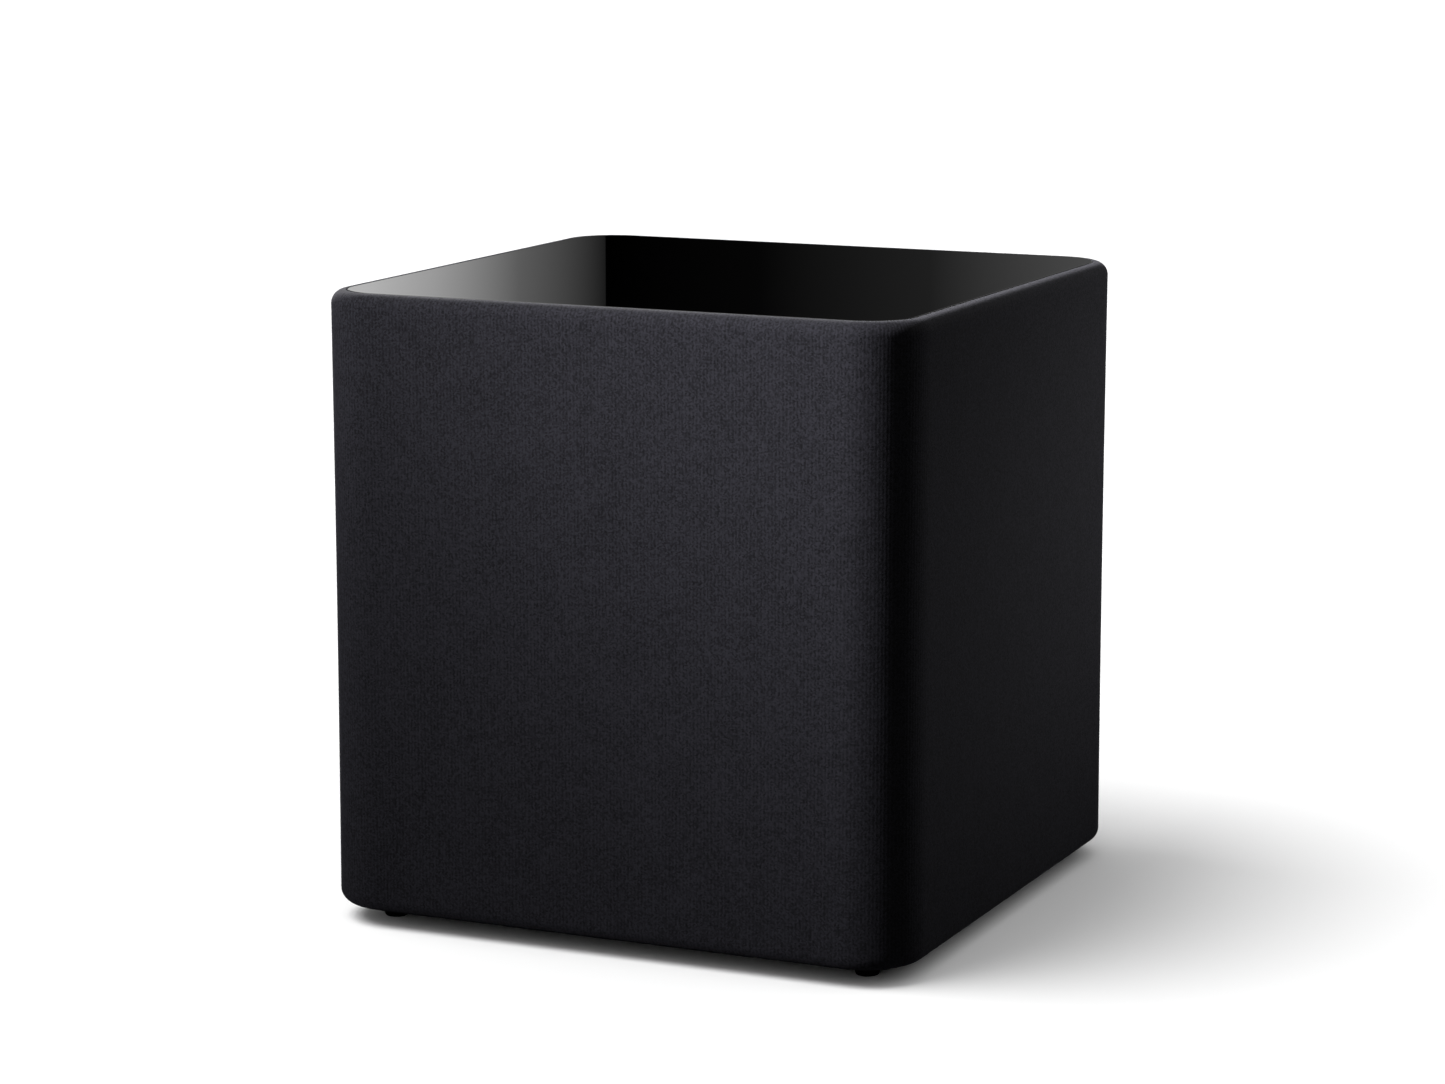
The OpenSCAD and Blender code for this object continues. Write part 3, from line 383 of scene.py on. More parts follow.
# each grain finish: its hollows' and its high spots' colour, size and depth of a grain in mm, roughness, more
GRAINS = {
    # carbon-black rubber from a mould: dark, matt, and a little dusty on its broad faces
    "moulded_rubber": ("#0E0E0F", "#1D1D1E", 0.35, 0.05, 0.72, {"ior": 1.52}),
    # black ABS with a spark-eroded grain: satin, and a slightly lighter grey on the high spots
    "moulded_abs": ("#151517", "#29292C", 0.3, 0.04, 0.48, {"ior": 1.54}),
    # textured black polyester powder on aluminium: an orange peel, drawn twice as coarse as real to show
    "powder_coat": ("#0C0C0D", "#28282A", 1.2, 0.12, 0.55, {"ior": 1.5}),
    # pressed wood fibre, sawn and unsealed: warm brown, speckled, fully matt
    "raw_fibreboard": ("#7A5A3C", "#B08E66", 0.8, 0.08, 0.86, {"ior": 1.5}),
    # bright zinc on steel: bluish grey metal with a cloudy, slightly brushed gloss
    "zinc_plate": ("#9A9EA3", "#C9CCCF", 0.4, 0.01, 0.32, {"metallic": 1.0}),
    # blackened steel screws: dark metal with an oily sheen
    "black_oxide": ("#17181B", "#33353A", 0.3, 0.01, 0.38, {"metallic": 1.0}),
    # long-fibre paper pulp with a black coating: fibrous, soft gloss
    "coated_pulp": ("#101012", "#2E2E31", 1.1, 0.12, 0.6, {"ior": 1.45}),
    # amber polyimide film: smooth and slightly see-through, so it reads as brown with a gloss
    "polyimide_film": ("#7A4A1C", "#A86A2C", 1.5, 0.005, 0.25, {"ior": 1.7}),
    # pressed and fired ferrite: charcoal grey, dry and finely pitted
    "sintered_ferrite": ("#1E1E20", "#3A3A3D", 0.7, 0.06, 0.7, {"ior": 1.6}),
    # white screen ink, printed thin: nearly flat, slightly uneven
    "screen_ink": ("#B9BBBD", "#DCDDDE", 0.4, 0.005, 0.6, {"ior": 1.5}),
    # turned or plated metal with faint tool marks
    "turned_brass": ("#A9843F", "#D6B468", 0.25, 0.008, 0.3, {"spread": 0.05, "metallic": 1.0}),
    "gold_plate": ("#C79A3C", "#EBC76A", 0.25, 0.008, 0.18, {"spread": 0.05, "metallic": 1.0}),
}
VINYLS = {"red_vinyl": "#8E1B1B", "grey_vinyl": "#9A9A98", "device_epoxy": "#1A1A1B",
          "blue_sleeve": "#16264F", "white_nylon": "#D8D8D3", "amber_tape": "#8A6A2A"}
MAKERS = {made.__name__: made for made in (enamelled_copper, dipped_cloth, solder_mask, clear_lens,
                                           loose_fibre)}
MATERIALS = {}


def material(name):
    """A material made once and kept by name."""
    if name not in MATERIALS:
        if name in GRAINS:
            base, raised_tone, size, depth, roughness, more = GRAINS[name]
            made = grain(name, srgb(base), srgb(raised_tone), size * MM, depth * MM, roughness, **more)
        elif name in VINYLS:
            made = vinyl_jacket(name, VINYLS[name])
        else:
            made = MAKERS[name]()
        MATERIALS[name] = made
    return MATERIALS[name]


# ---------------------------------------------------------------- meshes

def grid_faces(n, m, close_n, close_m):
    """Quads of an n by m grid of points, as an array of corner numbers; either way may close on itself."""
    i = np.arange(n if close_n else n - 1)[:, None]
    j = np.arange(m if close_m else m - 1)[None, :]
    i2, j2 = (i + 1) % n, (j + 1) % m
    corners = [i * m + j, i2 * m + j, i2 * m + j2, i * m + j2]
    return np.stack([np.broadcast_to(c, (len(i), j.shape[1])) for c in corners], axis=-1).reshape(-1, 4)


def new_object(name, data):
    """A new object in the scene."""
    made = bpy.data.objects.new(name, data)
    bpy.context.scene.collection.objects.link(made)
    return made


def applied(piece):
    """A new mesh of the piece as its modifiers leave it."""
    bpy.context.view_layer.update()
    return bpy.data.meshes.new_from_object(piece.evaluated_get(bpy.context.evaluated_depsgraph_get()))


def new_piece(name, points, faces, surface, body, slot, weld=0.0, smooth=True):
    """A mesh object from points and faces, with its doubles merged, its material set, riding on a body."""
    mesh = bpy.data.meshes.new(name)
    mesh.from_pydata(np.asarray(points).reshape(-1, 3).tolist(), [], [list(map(int, f)) for f in faces])
    if weld:
        shape = bmesh.new()
        shape.from_mesh(mesh)
        bmesh.ops.remove_doubles(shape, verts=shape.verts, dist=weld)
        bmesh.ops.dissolve_degenerate(shape, edges=shape.edges, dist=weld)
        bmesh.ops.recalc_face_normals(shape, faces=shape.faces)
        shape.to_mesh(mesh)
        shape.free()
    mesh.polygons.foreach_set("use_smooth", [smooth] * len(mesh.polygons))
    mesh.materials.append(surface)
    piece = new_object(name, mesh)
    if body:
        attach(piece, body)
    return piece


def bevel(piece, width):
    """Rounds every edge sharper than 40 degrees, and keeps its highlights even."""
    made = piece.modifiers.new("edges", "BEVEL")
    made.width = width
    made.segments = 2
    made.limit_method = "ANGLE"
    made.angle_limit = math.radians(40)
    shading = piece.modifiers.new("even_shading", "WEIGHTED_NORMAL")
    shading.keep_sharp = True


def arc(centre, radius, start, end, steps):
    """Points on a circle's arc: centre plus radius times (cosine, sine) of angles in degrees."""
    angles = np.radians(np.linspace(start, end, steps + 1))
    return np.array(centre) + radius * np.stack([np.cos(angles), np.sin(angles)], axis=1)


def round_outline(width, depth, radius, step, rear_cuts=()):
    """Points, outward normals and arc length round a round-cornered rectangle, anticlockwise from above.

    Each side is a straight run of even steps, and each corner is an arc of the radius. rear_cuts are
    extra positions along X on the rear side, where a cut-out's edges fall.
    """
    places, normals = [], []
    for k in range(4):
        turn = np.radians(90 * k)
        spin = np.array([[np.cos(turn), -np.sin(turn)], [np.sin(turn), np.cos(turn)]])
        along, half = (width, depth / 2) if k % 2 == 0 else (depth, width / 2)
        reach = along / 2 - radius
        x = np.linspace(-reach, reach, 2 * int(round(reach / step)) + 1)[:-1]
        if k == 2:
            x = np.unique(np.concatenate([x, -np.asarray(rear_cuts, float)]))
        straight = np.stack([x, np.full(len(x), -half)], axis=1)
        corner = arc((reach, radius - half), radius, -90, 0, 16)[:-1]
        out = (corner - [reach, radius - half]) / radius
        places.append(np.concatenate([straight, corner]) @ spin.T)
        normals.append(np.concatenate([np.tile([0.0, -1.0], (len(x), 1)), out]) @ spin.T)
    places, normals = np.concatenate(places), np.concatenate(normals)
    length = np.linalg.norm(np.roll(places, -1, axis=0) - places, axis=1)
    return places, normals, np.concatenate([[0.0], np.cumsum(length)])


def sweep(places, normals, profile, middle):
    """Carries a profile of (distance inwards, height) round an outline: place minus distance times normal."""
    flat = places[:, None, :] - profile[None, :, :1] * normals[:, None, :] + np.asarray(middle)[:2]
    height = np.broadcast_to(profile[None, :, 1], flat.shape[:2])
    return np.concatenate([flat, height[..., None]], axis=-1)


def lathe(profile, steps, centre, axis="Z"):
    """Turns a profile of (radius, height) about an axis through centre: (r cos a, r sin a, h).

    With axis Y the height runs along -Y, towards the driver's front; with axis -Y it runs along +Y.
    """
    a = np.linspace(0, 2 * np.pi, steps, endpoint=False)[:, None]
    r, h = profile[None, :, 0], np.broadcast_to(profile[None, :, 1], (steps, len(profile)))
    x, y = r * np.cos(a), r * np.sin(a)
    turned = {"Z": (x, y, h), "Y": (x, -h, y), "-Y": (-x, h, y)}[axis]
    return np.stack(turned, axis=-1) + np.asarray(centre)


WELD = 1e-6             # points nearer than this are one point
FLAT = 0.5              # degrees between faces that count as one flat face


def copied(node, name, finish_name):
    """A mesh copied from a CAD node in a new finish, its doubles merged and its flat triangles joined."""
    mesh = frame["nodes"][node].data.copy()
    mesh.name = name
    mesh.materials.clear()
    mesh.materials.append(material(finish_name))
    shape = bmesh.new()
    shape.from_mesh(mesh)
    bmesh.ops.remove_doubles(shape, verts=shape.verts, dist=WELD)
    bmesh.ops.dissolve_limit(shape, angle_limit=math.radians(FLAT), verts=shape.verts, edges=shape.edges)
    bmesh.ops.recalc_face_normals(shape, faces=shape.faces)
    shape.to_mesh(mesh)
    shape.free()
    return mesh


def record_slot(node):
    """The record's material slot of a CAD node."""
    return [part["material_slot"] for part in frame["record"]["subparts"] if part["node"] == node][0]


def body_with(node):
    """The body that a CAD node rides on."""
    return body_of(frame["nodes"][node])[0]


def eased(node, name, finish_name, width):
    """Stands for a CAD node with the same shape, whose sharp edges are eased by a small bevel."""
    mesh = copied(node, name, finish_name)
    mesh.polygons.foreach_set("use_smooth", [True] * len(mesh.polygons))
    mesh.polygons.foreach_set("material_index", [0] * len(mesh.polygons))
    piece = new_object(name, mesh)
    bevel(piece, width)
    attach(piece, body_with(node))
    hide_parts(node)


# ---------------------------------------------------------------- pieces

class SleeveOperator(bpy.types.Operator):
    """Stretches the knitted sleeve round the body and tucks it in beside both plates"""
    bl_idname = "subwoofer.sleeve"
    bl_label = "Knitted sleeve"

    stretch = 1.05          # how much longer the knit is on the body than when it was cut
    opening_margin = 4 * MM     # how far the rear plate overlaps the fabric
    step = 6 * MM           # between the mesh's columns
    wall_rows = 65
    shell = 0.9             # share of the fabric's thickness that the drawn shell takes

    def section(self, settings, rows):
        """The strip's section from the bottom tuck to the top tuck, as (distance inwards, height).

        Tuck, a turn of the fabric's own thickness, the roll's quarter circle, and the wall, which
        draws in by pull times the sine of its height; then the same mirrored.
        """
        low, high = SLEEVE_LOW[2], SLEEVE_HIGH[2]
        roll, tuck, thick = settings.roll, settings.tuck, settings.thick
        tucked = np.stack([np.full(4, roll + thick), np.linspace(tuck, thick, 5)[:-1]], axis=1)
        turn = arc((roll, thick), thick, 0, -90, 4)[:-1]
        rolled = arc((roll, roll), roll, -90, -180, 10)[:-1]
        end = np.concatenate([tucked, turn, rolled])
        drawn = settings.pull * np.sin(np.pi * (rows - rows[0]) / (rows[-1] - rows[0]))
        wall = np.stack([drawn, rows], axis=1)
        return np.concatenate([end + [0, low], wall, (end * [1, -1] + [0, high])[::-1]])

    def execute(self, context):
        settings = context.scene.subwoofer_fabric
        plate_low, plate_high = box("amp_plate")
        low = plate_low + self.opening_margin
        high = plate_high - self.opening_margin
        places, normals, length = round_outline(SLEEVE_SIZE[0], SLEEVE_SIZE[1], settings.corner, self.step,
                                                rear_cuts=(low[0], high[0]))
        rows = np.linspace(SLEEVE_LOW[2] + settings.roll, SLEEVE_HIGH[2] - settings.roll, self.wall_rows)
        rows = np.unique(np.concatenate([rows, [low[2], high[2]]]))
        section = self.section(settings, rows)
        points = sweep(places, normals, section, SLEEVE_MID)
        n, m = points.shape[:2]
        faces = grid_faces(n, m, True, False)
        centre = points.reshape(-1, 3)[faces].mean(axis=1)
        behind = centre[:, 1] > SLEEVE_MID[1]
        across = (centre[:, 0] > low[0]) & (centre[:, 0] < high[0])
        upright = (centre[:, 2] > low[2]) & (centre[:, 2] < high[2])
        shown = np.flatnonzero(~(behind & across & upright))
        run = np.concatenate([[0.0], np.cumsum(np.linalg.norm(np.diff(section, axis=0), axis=1))])
        column, row = shown // (m - 1), shown % (m - 1)
        uv = np.stack([length[np.stack([column, column + 1, column + 1, column], axis=1)],
                       run[np.stack([row, row, row + 1, row + 1], axis=1)]], axis=-1)
        cloth = knitted_polyester(settings, length[-1])
        piece = new_piece("knitted_sleeve", points, faces[shown], cloth, None, "knit_fabric")
        piece.data.uv_layers.new(name="cloth").data.foreach_set("uv", uv.ravel())
        shape = bmesh.new()
        shape.from_mesh(piece.data)
        bmesh.ops.delete(shape, geom=[v for v in shape.verts if not v.link_faces], context="VERTS")
        shape.to_mesh(piece.data)
        shape.free()
        wall = piece.modifiers.new("thickness", "SOLIDIFY")
        wall.thickness = self.shell * settings.thick
        wall.offset = -1
        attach(piece, ROOT)
        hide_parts("fabric_sleeve")
        return {"FINISHED"}


class TopPlateOperator(bpy.types.Operator):
    """Makes the glossy top plate, with its polished round edge"""
    bl_idname = "subwoofer.top_plate"
    bl_label = "Top plate"

    step = 8 * MM           # between the mesh's columns

    def execute(self, context):
        fabric, settings = context.scene.subwoofer_fabric, context.scene.subwoofer_plate
        low, high = PLATE_LOW, PLATE_HIGH
        size = high - low
        places, normals, _ = round_outline(size[0], size[1], fabric.corner - PLATE_INSET, self.step)
        edge = settings.edge
        rise = arc((edge, high[2] - edge), edge, 180, 90, 6)
        section = np.concatenate([[[0, low[2]], [0, (low + high)[2] / 2]], rise])
        points = sweep(places, normals, section, (low + high) / 2)
        n, m = points.shape[:2]
        sides = grid_faces(n, m, True, False).tolist()
        top = (np.arange(n) * m + m - 1).tolist()
        bottom = (np.arange(n)[::-1] * m).tolist()
        piece = new_piece("lacquered_top", points, sides + [top, bottom], piano_lacquer(settings), ROOT,
                          "black_gloss")
        piece.data.polygons.foreach_set("use_smooth", [True] * len(sides) + [False, False])
        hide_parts("top_plate")
        return {"FINISHED"}


class FeetOperator(bpy.types.Operator):
    """Turns the four round rubber feet, each with a pocket for its screw"""
    bl_idname = "subwoofer.feet"
    bl_label = "Rubber feet"

    floor_r = 7.5 * MM
    top_r = 9 * MM
    pocket_r = 4.4 * MM
    screw_r = 2.2 * MM
    pocket_depth = 5 * MM
    soft_edge = 0.9 * MM    # radius of the edge on the floor
    pocket_edge = 0.4 * MM
    top_edge = 0.5 * MM
    steps = 64

    def execute(self, context):
        low, high = box("feet")
        height = high[2] - low[2]
        section = np.concatenate([
            arc((self.pocket_r + self.pocket_edge, self.pocket_edge), self.pocket_edge, 180, 270, 3),
            arc((self.floor_r - self.soft_edge, self.soft_edge), self.soft_edge, -90, 8, 6),
            arc((self.top_r - self.top_edge, height - self.top_edge), self.top_edge, 8, 90, 4),
            [[self.screw_r, height], [self.screw_r, self.pocket_depth], [self.pocket_r, self.pocket_depth]],
        ])
        points, faces = [], []
        one = lathe(section, self.steps, (0, 0, 0)).reshape(-1, 3)
        quads = grid_faces(self.steps, len(section), True, True)
        middle, reach = (low + high) / 2, (high - low) / 2 - self.top_r
        for k, (x, y) in enumerate([(-1, -1), (1, -1), (1, 1), (-1, 1)]):
            points.append(one + [middle[0] + x * reach[0], middle[1] + y * reach[1], low[2]])
            faces.append(quads + k * len(one))
        piece = new_piece("rubber_feet", np.concatenate(points), np.concatenate(faces),
                          material("moulded_rubber"), ROOT, "foot_rubber")
        piece.data.set_sharp_from_angle(angle=math.radians(35))
        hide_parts("feet")
        return {"FINISHED"}


class KnobsOperator(bpy.types.Operator):
    """Moulds the two fluted control knobs and their pointer lines"""
    bl_idname = "subwoofer.knobs"
    bl_label = "Control knobs"

    flutes = 18
    flute_depth = 0.45 * MM
    crown = 0.15 * MM       # how far the pointer line's middle stands clear of the cap
    foot_edge = 0.4 * MM
    rim_edge = 1.2 * MM
    taper = 0.94            # share of the radius that is left at the cap
    dish = 0.72             # share of the radius that the cap's flat middle takes

    def knob(self, name, node):
        """Radius of the section, less flute depth times a rounded wave of the angle along the grip."""
        low, high = box(node)
        radius = (high - low)[0] / 2
        height = (high - low)[1] - self.crown
        foot = arc((radius - self.foot_edge, self.foot_edge), self.foot_edge, -90, 0, 3)
        top_r, rim_r = self.taper * radius, self.rim_edge
        grip = np.stack([np.linspace(radius, top_r, 9), np.linspace(rim_r, height - 2.2 * MM, 9)], axis=1)
        rim = arc((top_r - rim_r, height - rim_r), rim_r, 5, 90, 6)
        dish = np.stack([np.linspace(self.dish, 0.0, 6) * radius, np.full(6, height)], axis=1)
        section = np.concatenate([[[0, 0]], foot, grip, rim, dish])
        steps = self.flutes * 8
        centre = ((low + high)[0] / 2, low[1], (low + high)[2] / 2)
        points = lathe(section, steps, (0, 0, 0), axis="-Y")
        angle = np.linspace(0, 2 * np.pi, steps, endpoint=False)[:, None]
        inside = np.minimum(section[:, 1] - rim_r, height - 2.0 * MM - section[:, 1])
        held = np.clip(inside / (0.8 * MM), 0, 1)
        wave = (0.5 + 0.5 * np.cos(self.flutes * angle)) ** 2
        shrink = 1 - self.flute_depth / radius * wave * held[None, :] * (section[None, :, 0] > 0.8 * radius)
        points[..., 0] *= shrink
        points[..., 2] *= shrink
        points += centre
        piece = new_piece(name, points, grid_faces(steps, len(section), True, False), material("moulded_abs"),
                          body_with(node), record_slot(node), weld=WELD)
        piece.data.set_sharp_from_angle(angle=math.radians(50))
        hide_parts(node)
        line = slabs([(0, radius * 0.55, 0.9 * MM, radius * 0.7, 0)], high[1] - self.crown, centre, 0.2 * MM)
        new_piece(name + "_pointer", *line, material("screen_ink"), body_with(node), "white_nylon",
                  smooth=False)

    def execute(self, context):
        self.knob("volume_grip", "volume_knob")
        self.knob("crossover_grip", "crossover_knob")
        return {"FINISHED"}


def slabs(bars, y, centre, thick):
    """Thin blocks printed on a face of constant Y: each bar is (x, z, width, height, turn in degrees)."""
    corners = np.array([(x, z) for z in (-0.5, 0.5) for x in (-0.5, 0.5)])
    quads = np.array([(0, 2, 3, 1), (4, 5, 7, 6), (0, 1, 5, 4), (2, 6, 7, 3), (0, 4, 6, 2), (1, 3, 7, 5)])
    points, faces = [], []
    for k, (x, z, width, height, turn) in enumerate(bars):
        c, s = math.cos(math.radians(turn)), math.sin(math.radians(turn))
        flat = corners * [width, height] @ np.array([[c, s], [-s, c]]) + [x + centre[0], z + centre[2]]
        for depth in (y - thick / 2, y + thick / 2):
            points.append(np.stack([flat[:, 0], np.full(4, depth), flat[:, 1]], axis=1))
        faces.append(quads + 8 * k)
    return np.concatenate(points), np.concatenate(faces)


def figures(marks, y, size, thick):
    """Numbers printed on the rear face as one mesh: each mark is (text, x, z), read from behind."""
    whole = bmesh.new()
    for text, x, z in marks:
        curve = bpy.data.curves.new("figure", "FONT")
        curve.body = text
        curve.size = size
        curve.extrude = thick / 2
        curve.align_x = "CENTER"
        curve.align_y = "CENTER"
        holder = new_object("figure", curve)
        mesh = applied(holder)
        upright = Matrix.Rotation(math.pi, 4, "Z") @ Matrix.Rotation(math.pi / 2, 4, "X")
        mesh.transform(Matrix.Translation((x, y, z)) @ upright)
        whole.from_mesh(mesh)
        bpy.data.objects.remove(holder)
        bpy.data.curves.remove(curve)
        bpy.data.meshes.remove(mesh)
    bmesh.ops.remove_doubles(whole, verts=whole.verts, dist=WELD)
    mesh = bpy.data.meshes.new("figures")
    whole.to_mesh(mesh)
    whole.free()
    return mesh


class PrintsOperator(bpy.types.Operator):
    """Prints the dial marks, and the numbers of the dials and the phase switch, on the rear plate"""
    bl_idname = "subwoofer.prints"
    bl_label = "Printed marks"

    ink = 0.08 * MM
    sweep = 150             # degrees each way that a knob turns
    dial_r = 11.6 * MM
    number_gap = 4.7 * MM   # from the middle of a mark to the middle of its number
    figure_h = 3.0 * MM
    tick_w = 0.35 * MM
    tick = (0.0, 1.6 * MM)          # further out than dial_r, and length
    long_tick = (0.4 * MM, 2.4 * MM)
    phase_gap = {"0": 11 * MM, "180": 12 * MM}     # from the slider's end to the number

    def execute(self, context):
        face = box("amp_plate")[1][1]
        bars, marks = [], []
        for node, numbers in (("volume_knob", ("0", "5", "10")), ("crossover_knob", ("40", "80", "160"))):
            low, high = box(node)
            x, z = (low + high)[0] / 2, (low + high)[2] / 2
            for k, turn in enumerate(np.linspace(-self.sweep, self.sweep, 11)):
                a = math.radians(turn)
                further, length = self.long_tick if k % 5 == 0 else self.tick
                r = self.dial_r + further
                bars.append((x - r * math.sin(a), z + r * math.cos(a), self.tick_w, length, turn))
            for number, turn in zip(numbers, (-self.sweep, 0, self.sweep)):
                a = math.radians(turn)
                r = self.dial_r + self.number_gap
                marks.append((number, x - r * math.sin(a), z + r * math.cos(a)))
        low, high = box("phase_slider")
        z = (low + high)[2] / 2
        marks.append(("0", high[0] + self.phase_gap["0"], z))
        marks.append(("180", low[0] - self.phase_gap["180"], z))
        new_piece("dial_ticks", *slabs(bars, face, (0, 0, 0), self.ink), material("screen_ink"),
                  ROOT, "white_nylon", smooth=False)
        mesh = figures(marks, face, self.figure_h, self.ink)
        mesh.materials.append(material("screen_ink"))
        numbers = new_object("dial_numbers", mesh)
        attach(numbers, ROOT)
        return {"FINISHED"}


class HardwareOperator(bpy.types.Operator):
    """Eases the edges of the rear plate, its sockets and switches, and the base"""
    bl_idname = "subwoofer.hardware"
    bl_label = "Rear and base hardware"

    parts = (
        ("amp_plate", "rear_plate", "powder_coat", 0.5 * MM),
        ("heat_sink", "cooling_fins", "powder_coat", 0.35 * MM),
        ("amp_screws", "rear_screws", "black_oxide", 0.3 * MM),
        ("rocker_housing", "rocker_frame", "moulded_abs", 0.4 * MM),
        ("power_rocker", "rocker_cap", "moulded_abs", 0.4 * MM),
        ("mains_inlet", "inlet_body", "moulded_abs", 0.4 * MM),
        ("fuse_drawer", "fuse_tray_front", "moulded_abs", 0.3 * MM),
        ("trigger_jack", "trigger_socket", "moulded_abs", 0.3 * MM),
        ("line_inputs", "input_barrels", "gold_plate", 0.2 * MM),
        ("input_insulators", "input_rings", "white_nylon", 0.2 * MM),
        ("phase_slider", "phase_tab", "white_nylon", 0.2 * MM),
        ("power_mode_slider", "mode_tab", "white_nylon", 0.2 * MM),
        ("inlet_pins", "inlet_blades", "zinc_plate", 0.2 * MM),
        ("foot_screws", "foot_screw_heads", "zinc_plate", 0.2 * MM),
        ("base_plate", "base_cover", "moulded_abs", 0.6 * MM),
    )

    def execute(self, context):
        for part in self.parts:
            eased(*part)
        return {"FINISHED"}


class SuspensionOperator(bpy.types.Operator):
    """Presses the rubber surround and the corrugated spider, which flex with the cone"""
    bl_idname = "subwoofer.suspension"
    bl_label = "Surround and spider"

    lip = 7 * MM            # flat rim that is glued down, and doesn't flex
    steps = 160
    rubber = 1.6 * MM       # thickness of the surround
    roll = 11 * MM
    cloth = 0.8 * MM        # thickness of the spider
    coil_r = 26.1 * MM
    waves = 5
    wave_h = 2.2 * MM
    inner_flat, outer_flat = 6 * MM, 12 * MM

    def annulus(self, name, node, section, thick, finish_name):
        """A turned sheet, its weight a smooth step from 1 at its inner lip to 0 at its outer lip."""
        low, high = box(node)
        centre = ((low + high)[0] / 2, 0, (low + high)[2] / 2)
        points = lathe(section, self.steps, centre, axis="Y")
        piece = new_piece(name, points, grid_faces(self.steps, len(section), True, False),
                          material(finish_name), None, record_slot(node))
        shell = piece.modifiers.new("thickness", "SOLIDIFY")
        shell.thickness = thick
        shell.offset = -1
        piece.data = applied(piece)
        piece.modifiers.clear()
        inner, outer = section[:, 0].min(), section[:, 0].max()
        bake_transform(piece, ROOT, CONE, start=(centre[0] + outer, low[1], centre[2]),
                 end=(centre[0] + inner, low[1], centre[2]))
        place = np.empty(3 * len(piece.data.vertices))
        piece.data.vertices.foreach_get("co", place)
        place = place.reshape(-1, 3)
        radius = np.hypot(place[:, 0] - centre[0], place[:, 2] - centre[2])
        step = np.clip((outer - self.lip - radius) / (outer - inner - 2 * self.lip), 0, 1)
        weight = step * step * (3 - 2 * step)
        piece.data.attributes["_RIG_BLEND"].data.foreach_set("value", weight)
        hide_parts(node)

    def execute(self, context):
        low, high = box("surround")
        radius, thick, roll = (high - low)[0] / 2, self.rubber, self.roll
        back = -high[1]         # height of the lips' seat along the driver's axis, -Y upwards
        middle = radius - self.lip - roll
        edge = back + thick
        half_roll = arc((middle, back), roll, 180, 0, 24)
        half_roll = half_roll[half_roll[:, 1] > edge]
        inner_lip = [[middle - roll - self.lip, edge], [middle - roll - 0.5 * self.lip, edge]]
        outer_lip = [[radius - 0.5 * self.lip, edge], [radius, edge]]
        section = np.concatenate([inner_lip, half_roll, outer_lip])
        self.annulus("rolled_surround", "surround", section, thick, "moulded_rubber")
        low, high = box("spider")
        radius, back = (high - low)[0] / 2, -low[1]
        r = np.linspace(self.coil_r + self.inner_flat, radius - self.outer_flat, 121)
        phase = 2 * np.pi * self.waves * (r - r[0]) / (r[-1] - r[0])
        ripple = back - self.wave_h + self.wave_h * np.cos(phase)
        section = np.concatenate([[[self.coil_r, back]], np.stack([r, ripple], axis=1), [[radius, back]]])
        self.annulus("corrugated_spider", "spider", section, self.cloth, "dipped_cloth")
        return {"FINISHED"}


class WaddingOperator(bpy.types.Operator):
    """Fills the box behind the driver with loose polyester wadding"""
    bl_idname = "subwoofer.wadding"
    bl_label = "Damping wadding"

    voxel = 5 * MM
    sink = 1.6              # mm that the surface sinks on average, so that its tufts stay in the CAD shape

    def tufts(self, place):
        """Crossed sine waves of a few tens of mm, out of step with each other, as heights in mm."""
        x, y, z = place.T
        return (np.sin(x * 190 + 1.3) * np.sin(z * 170 + 0.4)
                + 0.6 * np.sin(y * 310 + 2.1) * np.sin(x * 260 + z * 120))

    def execute(self, context):
        piece = new_object("loose_wadding", copied("damping_wadding", "loose_wadding", "loose_fibre"))
        voxels = piece.modifiers.new("voxels", "REMESH")
        voxels.mode = "VOXEL"
        voxels.voxel_size = self.voxel
        voxels.use_smooth_shade = True
        puffed = applied(piece)
        piece.modifiers.clear()
        piece.data = puffed
        count = len(puffed.vertices)
        place, out = np.empty(3 * count), np.empty(3 * count)
        puffed.vertices.foreach_get("co", place)
        puffed.vertex_normals.foreach_get("vector", out)
        place, out = place.reshape(-1, 3), out.reshape(-1, 3)
        place -= out * (self.sink + self.tufts(place)[:, None]) * MM
        puffed.vertices.foreach_set("co", place.ravel())
        puffed.update()
        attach(piece, ROOT)
        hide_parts("damping_wadding")
        return {"FINISHED"}


class FrameFinishesOperator(bpy.types.Operator):
    """Gives every CAD part that stays its own procedural finish"""
    bl_idname = "subwoofer.frame_finishes"
    bl_label = "Cabinet, driver and amplifier finishes"

    finishes = {
        "raw_fibreboard": ("corner_posts", "side_panels", "top_panel", "bottom_panel", "rear_panel",
                           "front_baffle", "window_brace"),
        "moulded_abs": ("top_rail", "bottom_rail", "grille_frame", "driver_terminals"),
        "moulded_rubber": ("driver_trim_ring", "magnet_boot", "amp_gasket"),
        "powder_coat": ("driver_basket",),
        "coated_pulp": ("cone", "dust_cap"),
        "polyimide_film": ("coil_former",),
        "enamelled_copper": ("voice_coil",),
        "zinc_plate": ("pole_plate", "yoke", "potentiometers", "slide_switch_bodies", "volume_shaft",
                       "crossover_shaft"),
        "sintered_ferrite": ("magnet",),
        "black_oxide": ("driver_screws",),
        "red_vinyl": ("speaker_wires",),
        "grey_vinyl": ("signal_ribbon",),
        "device_epoxy": ("power_transistors",),
        "solder_mask": ("power_board", "control_board"),
        "turned_brass": ("board_standoffs",),
        "amber_tape": ("transformer",),
        "blue_sleeve": ("filter_capacitors",),
        "clear_lens": ("status_light", "fuse"),
    }

    def execute(self, context):
        for name, nodes in self.finishes.items():
            for node in nodes:
                for held in frame["nodes"][node].material_slots:
                    held.material = material(name)
        return {"FINISHED"}


# ---------------------------------------------------------------- stage

